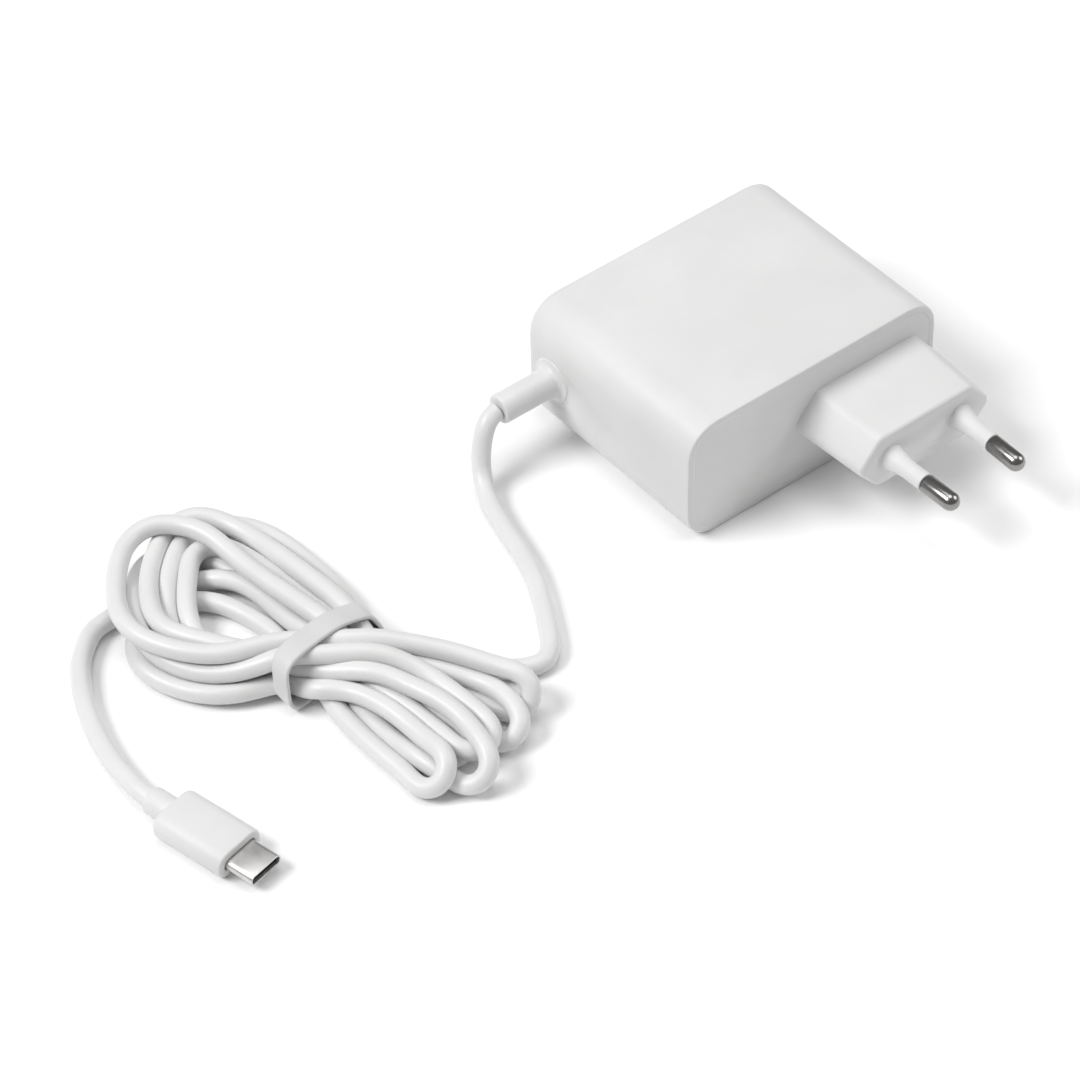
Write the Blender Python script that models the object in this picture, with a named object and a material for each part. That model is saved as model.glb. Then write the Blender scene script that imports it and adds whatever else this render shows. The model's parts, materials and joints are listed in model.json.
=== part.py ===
"""A laptop power adapter: a wall charger with two round mains pins and a captive USB-C cord.

The housing lies on its large face. X runs across the housing, -Y is the way the mains pins
point, and Z is up. The origin is under the middle of the housing, plug and pins. Metres.
"""

import math

import bmesh
import bpy
from mathutils import Vector

# Housing
HOUSING_WIDTH = 0.066
HOUSING_DEPTH = 0.0515
HOUSING_HEIGHT = 0.030
WALL = 0.0022
EDGE_RADIUS = 0.0075
BACK_RADIUS = 0.002
RIM_RADIUS = 0.0005
RIM_WIDTH = 0.0012
COVER_THICKNESS = 0.002
GAP = 0.0003

# Mains plug
PLUG_FROM_SIDE = 0.0191
PLUG_DEPTH = 0.0185
PLUG_RAISE = 0.0003
PLUG_ROOT_WIDTH = 0.0382
PLUG_ROOT_HEIGHT = 0.0140
PLUG_FACE_WIDTH = 0.0362
PLUG_FACE_HEIGHT = 0.0133
PLUG_POINT_LENGTH = 0.0058
PLUG_CORNER_RADIUS = 0.0023
PLUG_FACE_RADIUS = 0.0009
PLUG_WALL = 0.0019
PIN_LENGTH = 0.019
PIN_DIAMETER = 0.004
PIN_CORE_DIAMETER = 0.0026
PIN_HEAD_DIAMETER = 0.005
PIN_HEAD_LENGTH = 0.0015
PIN_STUB_LENGTH = 0.0035
PIN_ROOT_PITCH = 0.0186
PIN_TIP_PITCH = 0.0176
SLEEVE_LENGTH = 0.010
SLEEVE_ROOT_DIAMETER = 0.0057
SLEEVE_FLARE_LENGTH = 0.0030
SLEEVE_SEAT_DEPTH = 0.0006
SPRING_THICKNESS = 0.0005
SPRING_WIDTH = 0.004
SPRING_OVERLAP = 0.002
SPRING_CLEARANCE = 0.001
SPRING_FOOT = 0.002

# Circuit board and what stands on it
BOARD_THICKNESS = 0.0016
BOARD_LIFT = 0.0043
BOARD_MARGIN = 0.0008
BOARD_SETBACK = 0.001
RAIL_WIDTH = 0.0026
RAIL_THICKNESS = 0.0012
RAIL_SETBACK = 0.004
FILM_THICKNESS = 0.0004
SPREADER_THICKNESS = 0.0005
SHEET_MARGIN = 0.006
SHEET_END_MARGIN = 0.001
SIDE_CLEARANCE = 0.0006
FUSE_DIAMETER = 0.0084
FUSE_HEIGHT = 0.0075
FUSE_SETBACK = 0.0044
X_CAPACITOR_SIZE = (0.0125, 0.006, 0.012)
X_CAPACITOR_SETBACK = 0.0048
BRIDGE_SIZE = (0.015, 0.004, 0.011)
BRIDGE_SETBACK = 0.014
BRIDGE_SHIFT = -0.001
BULK_DIAMETER = 0.012
BULK_LENGTH = 0.024
BULK_SETBACK = 0.002
BULK_EDGE = 0.0006
BULK_GROOVE = (0.0022, 0.0028, 0.0032, 0.0038)
TRANSFORMER_SPACE = 0.0011
TRANSFORMER_SETBACK = 0.0155
CORE_WIDTH = 0.018
CORE_DEPTH = 0.008
CORE_HALF_HEIGHT = 0.008
CORE_LEG = 0.003
CORE_CENTRE_LEG = 0.0055
BOBBIN_WALL = 0.0007
BOBBIN_DEPTH = 0.016
BOBBIN_CHEEK = 0.001
BOBBIN_RADIUS = 0.0006
WINDING_DEPTH = 0.0155
WINDING_RADIUS = 0.0008
PAD_MARGIN = (0.001, 0.0005)
CHOKE_DIAMETER = 0.0125
CHOKE_BORE = 0.0065
CHOKE_HEIGHT = 0.006
CHOKE_WIRE = 0.0009
CHOKE_SETBACK = 0.0095
CHOKE_SPAN = 160
HEAT_PLATE_SIZE = (0.013, 0.0012, 0.0155)
HEAT_PLATE_SETBACK = 0.0014
HEAT_PLATE_MARGIN = 0.0028
TRANSISTOR_SIZE = (0.010, 0.0044, 0.0140)
TRANSISTOR_LIFT = 0.003
TRANSISTOR_SHIFT = 0.0068
LEG_SIZE = (0.0008, 0.0006, 0.004)
LEG_PITCH = 0.00254
BARRIER_SPACE = 0.0008
BARRIER_THICKNESS = 0.0005
BARRIER_LENGTH = 0.020
BARRIER_SETBACK = 0.002
BARRIER_HEADROOM = 0.002
OPTOCOUPLER_SIZE = (0.0064, 0.0044, 0.0035)
OPTOCOUPLER_SETBACK = 0.0168
OPTOCOUPLER_SHIFT = -0.0002
Y_CAPACITOR_DIAMETER = 0.008
Y_CAPACITOR_THICKNESS = 0.004
Y_CAPACITOR_EDGE = 0.001
Y_CAPACITOR_SHIFT = -0.004
Y_CAPACITOR_SETBACK = 0.002
CONTROLLER_SIZE = (0.0049, 0.0039, 0.0015)
CONTROLLER_X = 0.006
CONTROLLER_SETBACK = 0.015
SYNCHRONOUS_SIZE = (0.005, 0.006, 0.0011)
SYNCHRONOUS_X = -0.016
SYNCHRONOUS_SETBACK = 0.012
OUTPUT_CAN_DIAMETER = 0.0076
OUTPUT_CAN_HEIGHT = 0.012
OUTPUT_CAN_EDGE = 0.0004
OUTPUT_CAN_MARGIN = 0.0106
OUTPUT_CAN_SETBACK = 0.0219
INDUCTOR_SIZE = (0.006, 0.0065, 0.005)
INDUCTOR_SPACE = 0.0005
INDUCTOR_SETBACK = 0.0052
DELIVERY_BOARD_THICKNESS = 0.0008
DELIVERY_BOARD_LENGTH = 0.018
DELIVERY_BOARD_HEIGHT = 0.014
DELIVERY_BOARD_MARGIN = 0.0035
DELIVERY_BOARD_SETBACK = 0.0115
DELIVERY_CHIP_SIZE = (0.0009, 0.005, 0.005)
DELIVERY_CHIP_LIFT = 0.004
BLOCK_RADIUS = 0.0004
CHIP_RADIUS = 0.0002
SHEET_RADIUS = 0.0001

# Strain relief, in the housing's left side near its back
RELIEF_FROM_BACK = 0.0082
RELIEF_DROP = 0.0005
RELIEF_LENGTH = 0.0139
RELIEF_DIAMETER = 0.0065
RELIEF_END_RADIUS = 0.0005
RELIEF_FILLET = 0.0013
FLANGE_DIAMETER = 0.0104
FLANGE_PROUD = 0.0003
RECESS_DEPTH = 0.0009
LOCK_DIAMETER = 0.009
LOCK_THICKNESS = 0.0015
WIRE_DIAMETER = 0.0013
WIRE_PITCH_AT_RELIEF = 0.0020
WIRE_PITCH_AT_BOARD = 0.0030
WIRE_REACH = 0.0033
WIRE_STEP = 0.0013

# Cord
CORD_DIAMETER = 0.0041
CORD_STEP = 0.004
CORD_CLEARANCE = 0.0001

# The uncoiled cord's own points: X and Y from the strain relief's end face, and how far up
# the way from the table to the relief (lead) or to the connector (tail) it stands.
LEAD_ROUTE = [
    (-0.0005, 0.0, 1.0),
    (-0.0015, 0.0, 1.0),
    (-0.0029, -0.0003, 0.94),
    (-0.0047, -0.0010, 0.76),
    (-0.0063, -0.0021, 0.49),
    (-0.0077, -0.0038, 0.23),
    (-0.0091, -0.0067, 0.07),
    (-0.0105, -0.0102, 0.01),
    (-0.0116, -0.0140, 0.0),
    (-0.0129, -0.0187, 0.0),
    (-0.0141, -0.0240, 0.0),
    (-0.0156, -0.0292, 0.0),
    (-0.0177, -0.0344, 0.0),
    (-0.0204, -0.0396, 0.0),
    (-0.0236, -0.0452, 0.0),
    (-0.0262, -0.0492, 0.0),
    (-0.0288, -0.0514, 0.0),
    (-0.0319, -0.0519, 0.0),
    (-0.0345, -0.0506, 0.0),
    (-0.0364, -0.0491, 0.0),
]
TAIL_ROUTE = [
    (-0.0899, 0.0123, 0.0),
    (-0.0927, 0.0118, 0.0),
    (-0.0957, 0.0101, 0.0),
    (-0.0988, 0.0074, 0.0),
    (-0.1017, 0.0040, 0.0),
    (-0.1041, -0.0002, 0.0),
    (-0.1063, -0.0050, 0.0),
    (-0.1081, -0.0100, 0.0),
    (-0.1095, -0.0154, 0.06),
    (-0.1105, -0.0210, 0.28),
    (-0.1110, -0.0268, 0.68),
    (-0.11101, -0.03177, 0.98),
    (-0.11080, -0.03275, 1.0),
]

# The hank's plan, from one round end to the other: Y, left X, right X, underside and top.
# X and Y count from the strain relief's end face. The strap sits where it is narrow.
HANK_PLAN = [
    (0.0254, -0.0762, -0.0600, 0.0012, 0.0088),
    (0.0235, -0.0790, -0.0565, 0.0, 0.0105),
    (0.0190, -0.0835, -0.0525, 0.0, 0.0112),
    (0.0124, -0.0885, -0.0495, 0.0, 0.0115),
    (0.0070, -0.0905, -0.0478, 0.0, 0.0115),
    (-0.0030, -0.0935, -0.0470, 0.0, 0.0115),
    (-0.0130, -0.0912, -0.0478, 0.0, 0.0120),
    (-0.0180, -0.0880, -0.0490, 0.0, 0.0126),
    (-0.0205, -0.0835, -0.0500, 0.0, 0.0126),
    (-0.0229, -0.0741, -0.0511, 0.0013, 0.0124),
    (-0.0277, -0.0741, -0.0511, 0.0013, 0.0124),
    (-0.0300, -0.0738, -0.0490, 0.0, 0.0126),
    (-0.0380, -0.0718, -0.0430, 0.0, 0.0120),
    (-0.0480, -0.0716, -0.0385, 0.0, 0.0110),
    (-0.0550, -0.0712, -0.0368, 0.0, 0.0105),
    (-0.0610, -0.0704, -0.0376, 0.0, 0.0102),
    (-0.0655, -0.0692, -0.0430, 0.0, 0.0095),
    (-0.0690, -0.0672, -0.0530, 0.0, 0.0085),
    (-0.0718, -0.0650, -0.0570, 0.0012, 0.0070),
]
HANK_WAIST = 9
HANK_ROUNDNESS = 0.32
STRAP_WIDTH = 0.0042
STRAP_THICKNESS = 0.0009

# USB-C connector: where its overmould's rear end lies from the strain relief's end face
CONNECTOR_OFFSET = (-0.10966, -0.03793)
CONNECTOR_TURN = math.radians(-77.6)
OVERMOULD_LENGTH = 0.0176
OVERMOULD_WIDTH = 0.0118
OVERMOULD_HEIGHT = 0.0061
OVERMOULD_RADIUS = 0.0028
OVERMOULD_REAR_RADIUS = 0.0014
OVERMOULD_FRONT_RADIUS = 0.0005
OVERMOULD_CAVITY = 0.012
COLLAR_LENGTH = 0.0047
COLLAR_DIAMETER = 0.0057
COLLAR_RADIUS = 0.0007
SHELL_WIDTH = 0.00825
SHELL_HEIGHT = 0.0024
SHELL_WALL = 0.0003
SHELL_EXPOSED = 0.0065
SHELL_HELD = 0.005
FINE_GAP = 0.0001
INSULATOR_WALL = 0.0004
INSULATOR_INSET = 0.0004
INSULATOR_HEEL = 0.0008
CONNECTOR_BOARD_THICKNESS = 0.0008
CONTACT_COUNT = 12
CONTACT_PITCH = 0.0005
CONTACT_WIDTH = 0.0003
CONTACT_THICKNESS = 0.00015
CONTACT_BAR = 0.001
CONTACT_INSET = 0.0012

# Places that follow from those sizes
PIN_TIP_Y = -(HOUSING_DEPTH + PLUG_DEPTH + PIN_LENGTH) / 2
PLUG_FACE_Y = PIN_TIP_Y + PIN_LENGTH
FRONT_Y = PLUG_FACE_Y + PLUG_DEPTH
BACK_Y = FRONT_Y + HOUSING_DEPTH
MIDDLE_Z = HOUSING_HEIGHT / 2
PLUG_CENTRE_X = HOUSING_WIDTH / 2 - PLUG_FROM_SIDE
PLUG_Z = MIDDLE_Z + PLUG_RAISE
RELIEF_Z = MIDDLE_Z - RELIEF_DROP
INNER_RIGHT = HOUSING_WIDTH / 2 - WALL
INNER_LEFT = -INNER_RIGHT
INNER_FLOOR = WALL
INNER_CEILING = HOUSING_HEIGHT - WALL
INNER_BACK = BACK_Y - WALL
COVER_BACK = FRONT_Y + COVER_THICKNESS
BOARD_BOTTOM = INNER_FLOOR + BOARD_LIFT
BOARD_TOP = BOARD_BOTTOM + BOARD_THICKNESS
BOARD_FRONT = COVER_BACK + BOARD_SETBACK
BOARD_BACK = INNER_BACK - BOARD_MARGIN
STAND = BOARD_TOP + GAP
RELIEF_Y = BACK_Y - RELIEF_FROM_BACK
EXIT = Vector((-HOUSING_WIDTH / 2 - RELIEF_LENGTH, RELIEF_Y, RELIEF_Z))
SPREADER_BOTTOM = INNER_CEILING - GAP - SPREADER_THICKNESS

# How far a cutter runs past what it cuts, and how finely round shapes are drawn
CUTTER_MARGIN = 0.001
LEAST_RADIUS = 0.0003
CORNER_STEPS = 6
ROUND_STEPS = 20
FINE_STEPS = 32
SHARP_ANGLE = math.radians(35)


# ---------------------------------------------------------------- helpers

def clear_scene():
    for obj in list(bpy.data.objects):
        bpy.data.objects.remove(obj, do_unlink=True)


def material(name, colour, roughness, metallic=0.0):
    found = bpy.data.materials.get(name)
    if found:
        return found
    made = bpy.data.materials.new(name)
    made.use_nodes = True
    shader = made.node_tree.nodes["Principled BSDF"]
    shader.inputs["Base Color"].default_value = (*colour, 1.0)
    shader.inputs["Roughness"].default_value = roughness
    shader.inputs["Metallic"].default_value = metallic
    return made


def white_plastic():
    return material("white_plastic", (0.80, 0.80, 0.80), 0.45)


def white_soft():
    return material("white_elastomer", (0.78, 0.78, 0.78), 0.5)


def nickel():
    return material("nickel", (0.62, 0.60, 0.57), 0.22, 1.0)


def black_resin():
    return material("black_resin", (0.03, 0.03, 0.03), 0.5)


def steel():
    return material("steel", (0.56, 0.55, 0.54), 0.3, 1.0)


def add_object(name, mesh, finish, parent=None):
    mesh.materials.append(finish)
    mesh.shade_smooth()
    mesh.set_sharp_from_angle(angle=SHARP_ANGLE)
    obj = bpy.data.objects.new(name, mesh)
    bpy.context.scene.collection.objects.link(obj)
    obj.parent = parent
    return obj


def loft(name, rings, finish, closed=False, parent=None):
    """One closed body through rings of points. Its ends are capped, or joined if closed."""
    bm = bmesh.new()
    rows = [[bm.verts.new(point) for point in ring] for ring in rings]
    pairs = list(zip(rows, rows[1:]))
    if closed:
        pairs.append((rows[-1], rows[0]))
    else:
        bm.faces.new(rows[0])
        bm.faces.new(rows[-1])
    for low, high in pairs:
        count = len(low)
        for i in range(count):
            j = (i + 1) % count
            bm.faces.new((low[i], low[j], high[j], high[i]))
    bmesh.ops.recalc_face_normals(bm, faces=bm.faces)
    mesh = bpy.data.meshes.new(name)
    bm.to_mesh(mesh)
    bm.free()
    return add_object(name, mesh, finish, parent)


def rounded(width, height, radius, steps=CORNER_STEPS):
    """Points round a rectangle with round corners, about the origin."""
    points = []
    corners = ((1, 1, 0), (-1, 1, 90), (-1, -1, 180), (1, -1, 270))
    for side_u, side_v, start in corners:
        for i in range(steps + 1):
            turn = math.radians(start + 90 * i / steps)
            u = side_u * (width / 2 - radius) + radius * math.cos(turn)
            v = side_v * (height / 2 - radius) + radius * math.sin(turn)
            points.append((u, v))
    return points


def circle(radius, steps=ROUND_STEPS):
    turns = [math.tau * i / steps for i in range(steps)]
    return [(radius * math.cos(turn), radius * math.sin(turn)) for turn in turns]


def across_x(outline, x, y=0.0, z=0.0):
    return [(x, y + u, z + v) for u, v in outline]


def across_y(outline, y, x=0.0, z=0.0):
    return [(x + u, y, z + v) for u, v in outline]


def across_z(outline, z, x=0.0, y=0.0):
    return [(x + u, y + v, z) for u, v in outline]


def block(name, x, y, z, finish, radius=BLOCK_RADIUS, parent=None):
    """A box between pairs of limits, with its upright edges rounded."""
    outline = rounded(x[1] - x[0], y[1] - y[0], radius, 2)
    middle = ((x[0] + x[1]) / 2, (y[0] + y[1]) / 2)
    rings = [across_z(outline, height, *middle) for height in z]
    return loft(name, rings, finish, parent=parent)


def turned(name, profile, place, finish, steps=ROUND_STEPS, parent=None):
    """A body turned about place's upright line: profile is (radius, height) from its base."""
    rings = [across_z(circle(r, steps), place[2] + h, place[0], place[1]) for r, h in profile]
    return loft(name, rings, finish, parent=parent)


def prism(name, outline, low, high, across, finish, parent=None):
    """An outline of any shape carried straight from low to high."""
    return loft(name, [across(outline, low), across(outline, high)], finish, parent=parent)


def combine(obj, other, operation):
    """A Boolean on obj. The other body is a helper: it isn't part of the object."""
    other.hide_render = True
    other.display_type = "WIRE"
    change = obj.modifiers.new(other.name, "BOOLEAN")
    change.object = other
    change.operation = operation
    change.solver = "EXACT"


def strip_outline(points, thickness):
    """The outline of a bent strip whose middle line runs through points."""
    line = [Vector(point) for point in points]
    sides = ([], [])
    for i, point in enumerate(line):
        before = (point - line[i - 1]).normalized() if i else None
        after = (line[i + 1] - point).normalized() if i + 1 < len(line) else None
        before = before or after
        after = after or before
        along = (before + after).normalized()
        normal = Vector((-along.y, along.x))
        reach = thickness / 2 / normal.dot(Vector((-after.y, after.x)))
        sides[0].append(tuple(point + normal * reach))
        sides[1].append(tuple(point - normal * reach))
    return sides[0] + sides[1][::-1]


def smooth_line(points, step):
    """Points a step apart on a smooth curve through the given ones."""
    line = [Vector(point) for point in points]
    fine = []
    for i in range(len(line) - 1):
        start, end = line[i], line[i + 1]
        before = line[i - 1] if i else start * 2 - end
        after = line[i + 2] if i + 2 < len(line) else end * 2 - start
        for j in range(16):
            t = j / 16
            fine.append(
                start
                + (end - before) * (t / 2)
                + (before * 2 - start * 5 + end * 4 - after) * (t * t / 2)
                + (start * 3 - before - end * 3 + after) * (t ** 3 / 2)
            )
    fine.append(line[-1])
    spans = [(b - a).length for a, b in zip(fine, fine[1:])]
    count = max(2, round(sum(spans) / step))
    spacing = sum(spans) / count
    result = [fine[0]]
    travelled = 0.0
    for a, b, span in zip(fine, fine[1:], spans):
        while len(result) < count and travelled + span >= spacing * len(result):
            result.append(a.lerp(b, (spacing * len(result) - travelled) / span))
        travelled += span
    result.append(fine[-1])
    return result


def tube(name, points, diameter, finish, steps=2):
    """A round cord or wire along points, with flat ends."""
    curve = bpy.data.curves.new(name, "CURVE")
    curve.dimensions = "3D"
    curve.bevel_depth = diameter / 2
    curve.bevel_resolution = steps
    curve.use_fill_caps = True
    spline = curve.splines.new("POLY")
    spline.points.add(len(points) - 1)
    for target, point in zip(spline.points, points):
        target.co = (*point, 1.0)
    curve.materials.append(finish)
    obj = bpy.data.objects.new(name, curve)
    bpy.context.scene.collection.objects.link(obj)
    return obj


# ---------------------------------------------------------------- housing

def housing_outline(inset):
    """The housing's section, seen along Y, drawn in by inset."""
    radius = max(EDGE_RADIUS - inset, LEAST_RADIUS)
    return rounded(HOUSING_WIDTH - 2 * inset, HOUSING_HEIGHT - 2 * inset, radius)


def make_housing_shell():
    stations = []
    for i in range(5):
        turn = math.radians(90 * i / 4)
        inset = BACK_RADIUS * (1 - math.sin(turn))
        stations.append((inset, BACK_Y - BACK_RADIUS * (1 - math.cos(turn))))
    stations += [(0.0, FRONT_Y + RIM_RADIUS), (RIM_RADIUS * 0.3, FRONT_Y + RIM_RADIUS * 0.3)]
    stations += [(RIM_RADIUS, FRONT_Y), (RIM_WIDTH, FRONT_Y)]
    ledge = COVER_BACK + GAP
    stations += [(RIM_WIDTH, ledge), (WALL, ledge), (WALL, INNER_BACK)]
    rings = [across_y(housing_outline(inset), y, z=MIDDLE_Z) for inset, y in stations]
    shell = loft("housing_shell", rings, white_plastic())

    rail_top = BOARD_BOTTOM - GAP
    for side, name in ((-1, "rail_left"), (1, "rail_right")):
        inner = side * (INNER_RIGHT - RAIL_WIDTH)
        outer = side * (INNER_RIGHT + WALL / 2)
        reach = (BOARD_FRONT + RAIL_SETBACK, INNER_BACK + WALL / 2)
        height = (rail_top - RAIL_THICKNESS, rail_top)
        rail = block(name, sorted((inner, outer)), reach, height, white_plastic())
        combine(shell, rail, "UNION")

    outer_face = -HOUSING_WIDTH / 2
    start = outer_face - CUTTER_MARGIN
    flange = FLANGE_DIAMETER / 2 + GAP
    recess = relief_cutter("flange_recess", flange, start, outer_face + RECESS_DEPTH)
    combine(shell, recess, "DIFFERENCE")
    boot = RELIEF_DIAMETER / 2 + GAP
    hole = relief_cutter("relief_hole", boot, start, INNER_LEFT + CUTTER_MARGIN)
    combine(shell, hole, "DIFFERENCE")
    return shell


def relief_cutter(name, radius, low, high):
    """A round cutter along the strain relief's line."""
    rings = [across_x(circle(radius, FINE_STEPS), x, RELIEF_Y, RELIEF_Z) for x in (low, high)]
    return loft(name, rings, white_plastic())


def plug_outline(width, height, inset=0.0):
    """A flattened hexagon with rounded corners: sloped ends that meet in a blunt point."""
    half_height = height / 2 - inset
    slope = math.hypot(PLUG_POINT_LENGTH, height / 2) / (height / 2)
    half_width = width / 2 - inset * slope
    point = PLUG_POINT_LENGTH * half_height / (height / 2)
    corners = [
        (half_width, 0.0),
        (half_width - point, half_height),
        (-half_width + point, half_height),
        (-half_width, 0.0),
        (-half_width + point, -half_height),
        (half_width - point, -half_height),
    ]
    points = []
    for i, corner in enumerate(corners):
        here = Vector(corner)
        before = (Vector(corners[i - 1]) - here).normalized()
        after = (Vector(corners[(i + 1) % 6]) - here).normalized()
        half_angle = before.angle(after) / 2
        radius = max(PLUG_CORNER_RADIUS - inset, LEAST_RADIUS)
        centre = here + (before + after).normalized() * (radius / math.sin(half_angle))
        tangent = radius / math.tan(half_angle)
        start = here + before * tangent - centre
        sweep = start.angle_signed(here + after * tangent - centre)
        for j in range(5):
            turn = -sweep * j / 4
            u = start.x * math.cos(turn) - start.y * math.sin(turn)
            v = start.x * math.sin(turn) + start.y * math.cos(turn)
            points.append((centre.x + u, centre.y + v))
    return points


def plug_ring(share, y, inset=0.0):
    """The plug block's section at a share of the way from its root to its pin face."""
    width = PLUG_ROOT_WIDTH + (PLUG_FACE_WIDTH - PLUG_ROOT_WIDTH) * share
    height = PLUG_ROOT_HEIGHT + (PLUG_FACE_HEIGHT - PLUG_ROOT_HEIGHT) * share
    return across_y(plug_outline(width, height, inset), y, PLUG_CENTRE_X, PLUG_Z)


def pin_frame(side):
    """An empty at a pin's root on the plug's face, its Z along the pin towards the tip."""
    anchor = bpy.data.objects.new("pin_anchor", None)
    bpy.context.scene.collection.objects.link(anchor)
    anchor.location = (PLUG_CENTRE_X + side * PIN_ROOT_PITCH / 2, PLUG_FACE_Y, PLUG_Z)
    lean = side * (PIN_TIP_PITCH - PIN_ROOT_PITCH) / 2
    direction = Vector((lean, -PIN_LENGTH, 0.0))
    anchor.rotation_mode = "QUATERNION"
    anchor.rotation_quaternion = direction.to_track_quat("Z", "X")
    return anchor


def rim_clearance():
    """A ring-shaped cutter: what the plug block leaves free round the housing's rim."""
    inner, outer = housing_outline(RIM_WIDTH + 2 * GAP), housing_outline(-CUTTER_MARGIN)
    front, back = FRONT_Y - GAP, COVER_BACK + CUTTER_MARGIN
    rings = [across_y(inner, front, z=MIDDLE_Z), across_y(outer, front, z=MIDDLE_Z)]
    rings += [across_y(outer, back, z=MIDDLE_Z), across_y(inner, back, z=MIDDLE_Z)]
    return loft("rim_clearance", rings, white_plastic(), closed=True)


def make_plug_cover(anchors):
    clear = RIM_WIDTH + GAP
    rings = [across_y(housing_outline(clear), y, z=MIDDLE_Z) for y in (FRONT_Y, COVER_BACK)]
    cover = loft("plug_cover", rings, white_plastic())
    body = [plug_ring(0.0, FRONT_Y + COVER_THICKNESS / 2), plug_ring(0.0, FRONT_Y)]
    for i in range(4):
        turn = math.radians(90 * i / 3)
        inset = PLUG_FACE_RADIUS * (1 - math.cos(turn))
        y = PLUG_FACE_Y + PLUG_FACE_RADIUS * (1 - math.sin(turn))
        body.append(plug_ring(1.0, y, inset))
    plug_block = loft("plug_block", body, white_plastic())
    combine(plug_block, rim_clearance(), "DIFFERENCE")
    combine(cover, plug_block, "UNION")
    inside = PLUG_FACE_Y + PLUG_WALL
    hollow = [plug_ring(0.0, COVER_BACK + CUTTER_MARGIN, PLUG_WALL)]
    hollow += [plug_ring(0.0, FRONT_Y, PLUG_WALL), plug_ring(1.0, inside, PLUG_WALL)]
    combine(cover, loft("plug_hollow", hollow, white_plastic()), "DIFFERENCE")
    for side, anchor in anchors.items():
        radius = PIN_CORE_DIAMETER / 2 + GAP
        seat = SLEEVE_ROOT_DIAMETER / 2 + GAP
        bore = [(radius, -PLUG_WALL - CUTTER_MARGIN), (radius, -SLEEVE_SEAT_DEPTH)]
        bore += [(seat, -SLEEVE_SEAT_DEPTH), (seat, CUTTER_MARGIN)]
        cutter = turned(f"pin_bore_{side}", bore, (0, 0, 0), white_plastic(), parent=anchor)
        combine(cover, cutter, "DIFFERENCE")
    return cover


def make_pin(side, anchor):
    """A pin with its metal tip, the core under the sleeve, the locking head and the stub."""
    core = PIN_CORE_DIAMETER / 2
    tip = PIN_DIAMETER / 2
    head_top = -(PLUG_WALL + GAP)
    head_base = head_top - PIN_HEAD_LENGTH
    profile = [(core, head_base - PIN_STUB_LENGTH), (core, head_base)]
    profile += [(PIN_HEAD_DIAMETER / 2, head_base), (PIN_HEAD_DIAMETER / 2, head_top)]
    profile += [(core, head_top), (core, SLEEVE_LENGTH + GAP), (tip, SLEEVE_LENGTH + GAP)]
    for i in range(6):
        turn = math.radians(15 * i)
        profile.append((tip * math.cos(turn), PIN_LENGTH - tip + tip * math.sin(turn)))
    return turned(f"pin_{side}", profile, (0, 0, 0), nickel(), 24, parent=anchor)


def make_pin_sleeve(side, anchor):
    """The white insulating sleeve, flared at its root, which stands in a seat in the plug's face."""
    bore = PIN_CORE_DIAMETER / 2 + GAP
    root = SLEEVE_ROOT_DIAMETER / 2
    end = PIN_DIAMETER / 2
    foot = GAP - SLEEVE_SEAT_DEPTH
    outside = [(root, foot)]
    for i in range(5):
        share = i / 4
        flare = (root - end) * (1 - share) ** 2
        outside.append((end + flare, SLEEVE_FLARE_LENGTH * share))
    outside.append((end, SLEEVE_LENGTH))
    profile = [(bore, foot)] + outside + [(bore, SLEEVE_LENGTH)]
    rings = [across_z(circle(r, 24), h) for r, h in profile]
    return loft(f"pin_sleeve_{side}", rings, white_plastic(), closed=True, parent=anchor)


def make_contact_spring(side, sign):
    """A bent strip from the pin's stub back to the board's front edge."""
    stub_end = PLUG_FACE_Y + PLUG_WALL + GAP + PIN_HEAD_LENGTH + PIN_STUB_LENGTH
    rise = stub_end + GAP + SPRING_THICKNESS / 2
    run = PLUG_Z - PLUG_FACE_HEIGHT / 2 + PLUG_WALL + SPRING_CLEARANCE
    foot = BOARD_FRONT + SPRING_FOOT
    line = [(rise, PLUG_Z + SPRING_OVERLAP), (rise, run), (foot, run), (foot, STAND)]
    outline = strip_outline(line, SPRING_THICKNESS)
    middle = PLUG_CENTRE_X + sign * PIN_ROOT_PITCH / 2
    brass = material("brass", (0.72, 0.55, 0.25), 0.3, 1.0)
    low, high = middle - SPRING_WIDTH / 2, middle + SPRING_WIDTH / 2
    return prism(f"contact_spring_{side}", outline, low, high, across_x, brass)


# ---------------------------------------------------------------- circuit board

def on_board(name, middle, size, finish, radius=BLOCK_RADIUS, lift=0.0):
    """A block that stands on the board: its middle in X and Y, and its size."""
    x = (middle[0] - size[0] / 2, middle[0] + size[0] / 2)
    y = (middle[1] - size[1] / 2, middle[1] + size[1] / 2)
    z = (STAND + lift, STAND + lift + size[2])
    return block(name, x, y, z, finish, radius)


def under_board(name, middle, size, finish):
    x = (middle[0] - size[0] / 2, middle[0] + size[0] / 2)
    y = (middle[1] - size[1] / 2, middle[1] + size[1] / 2)
    z = (BOARD_BOTTOM - GAP - size[2], BOARD_BOTTOM - GAP)
    return block(name, x, y, z, finish, CHIP_RADIUS)


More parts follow.
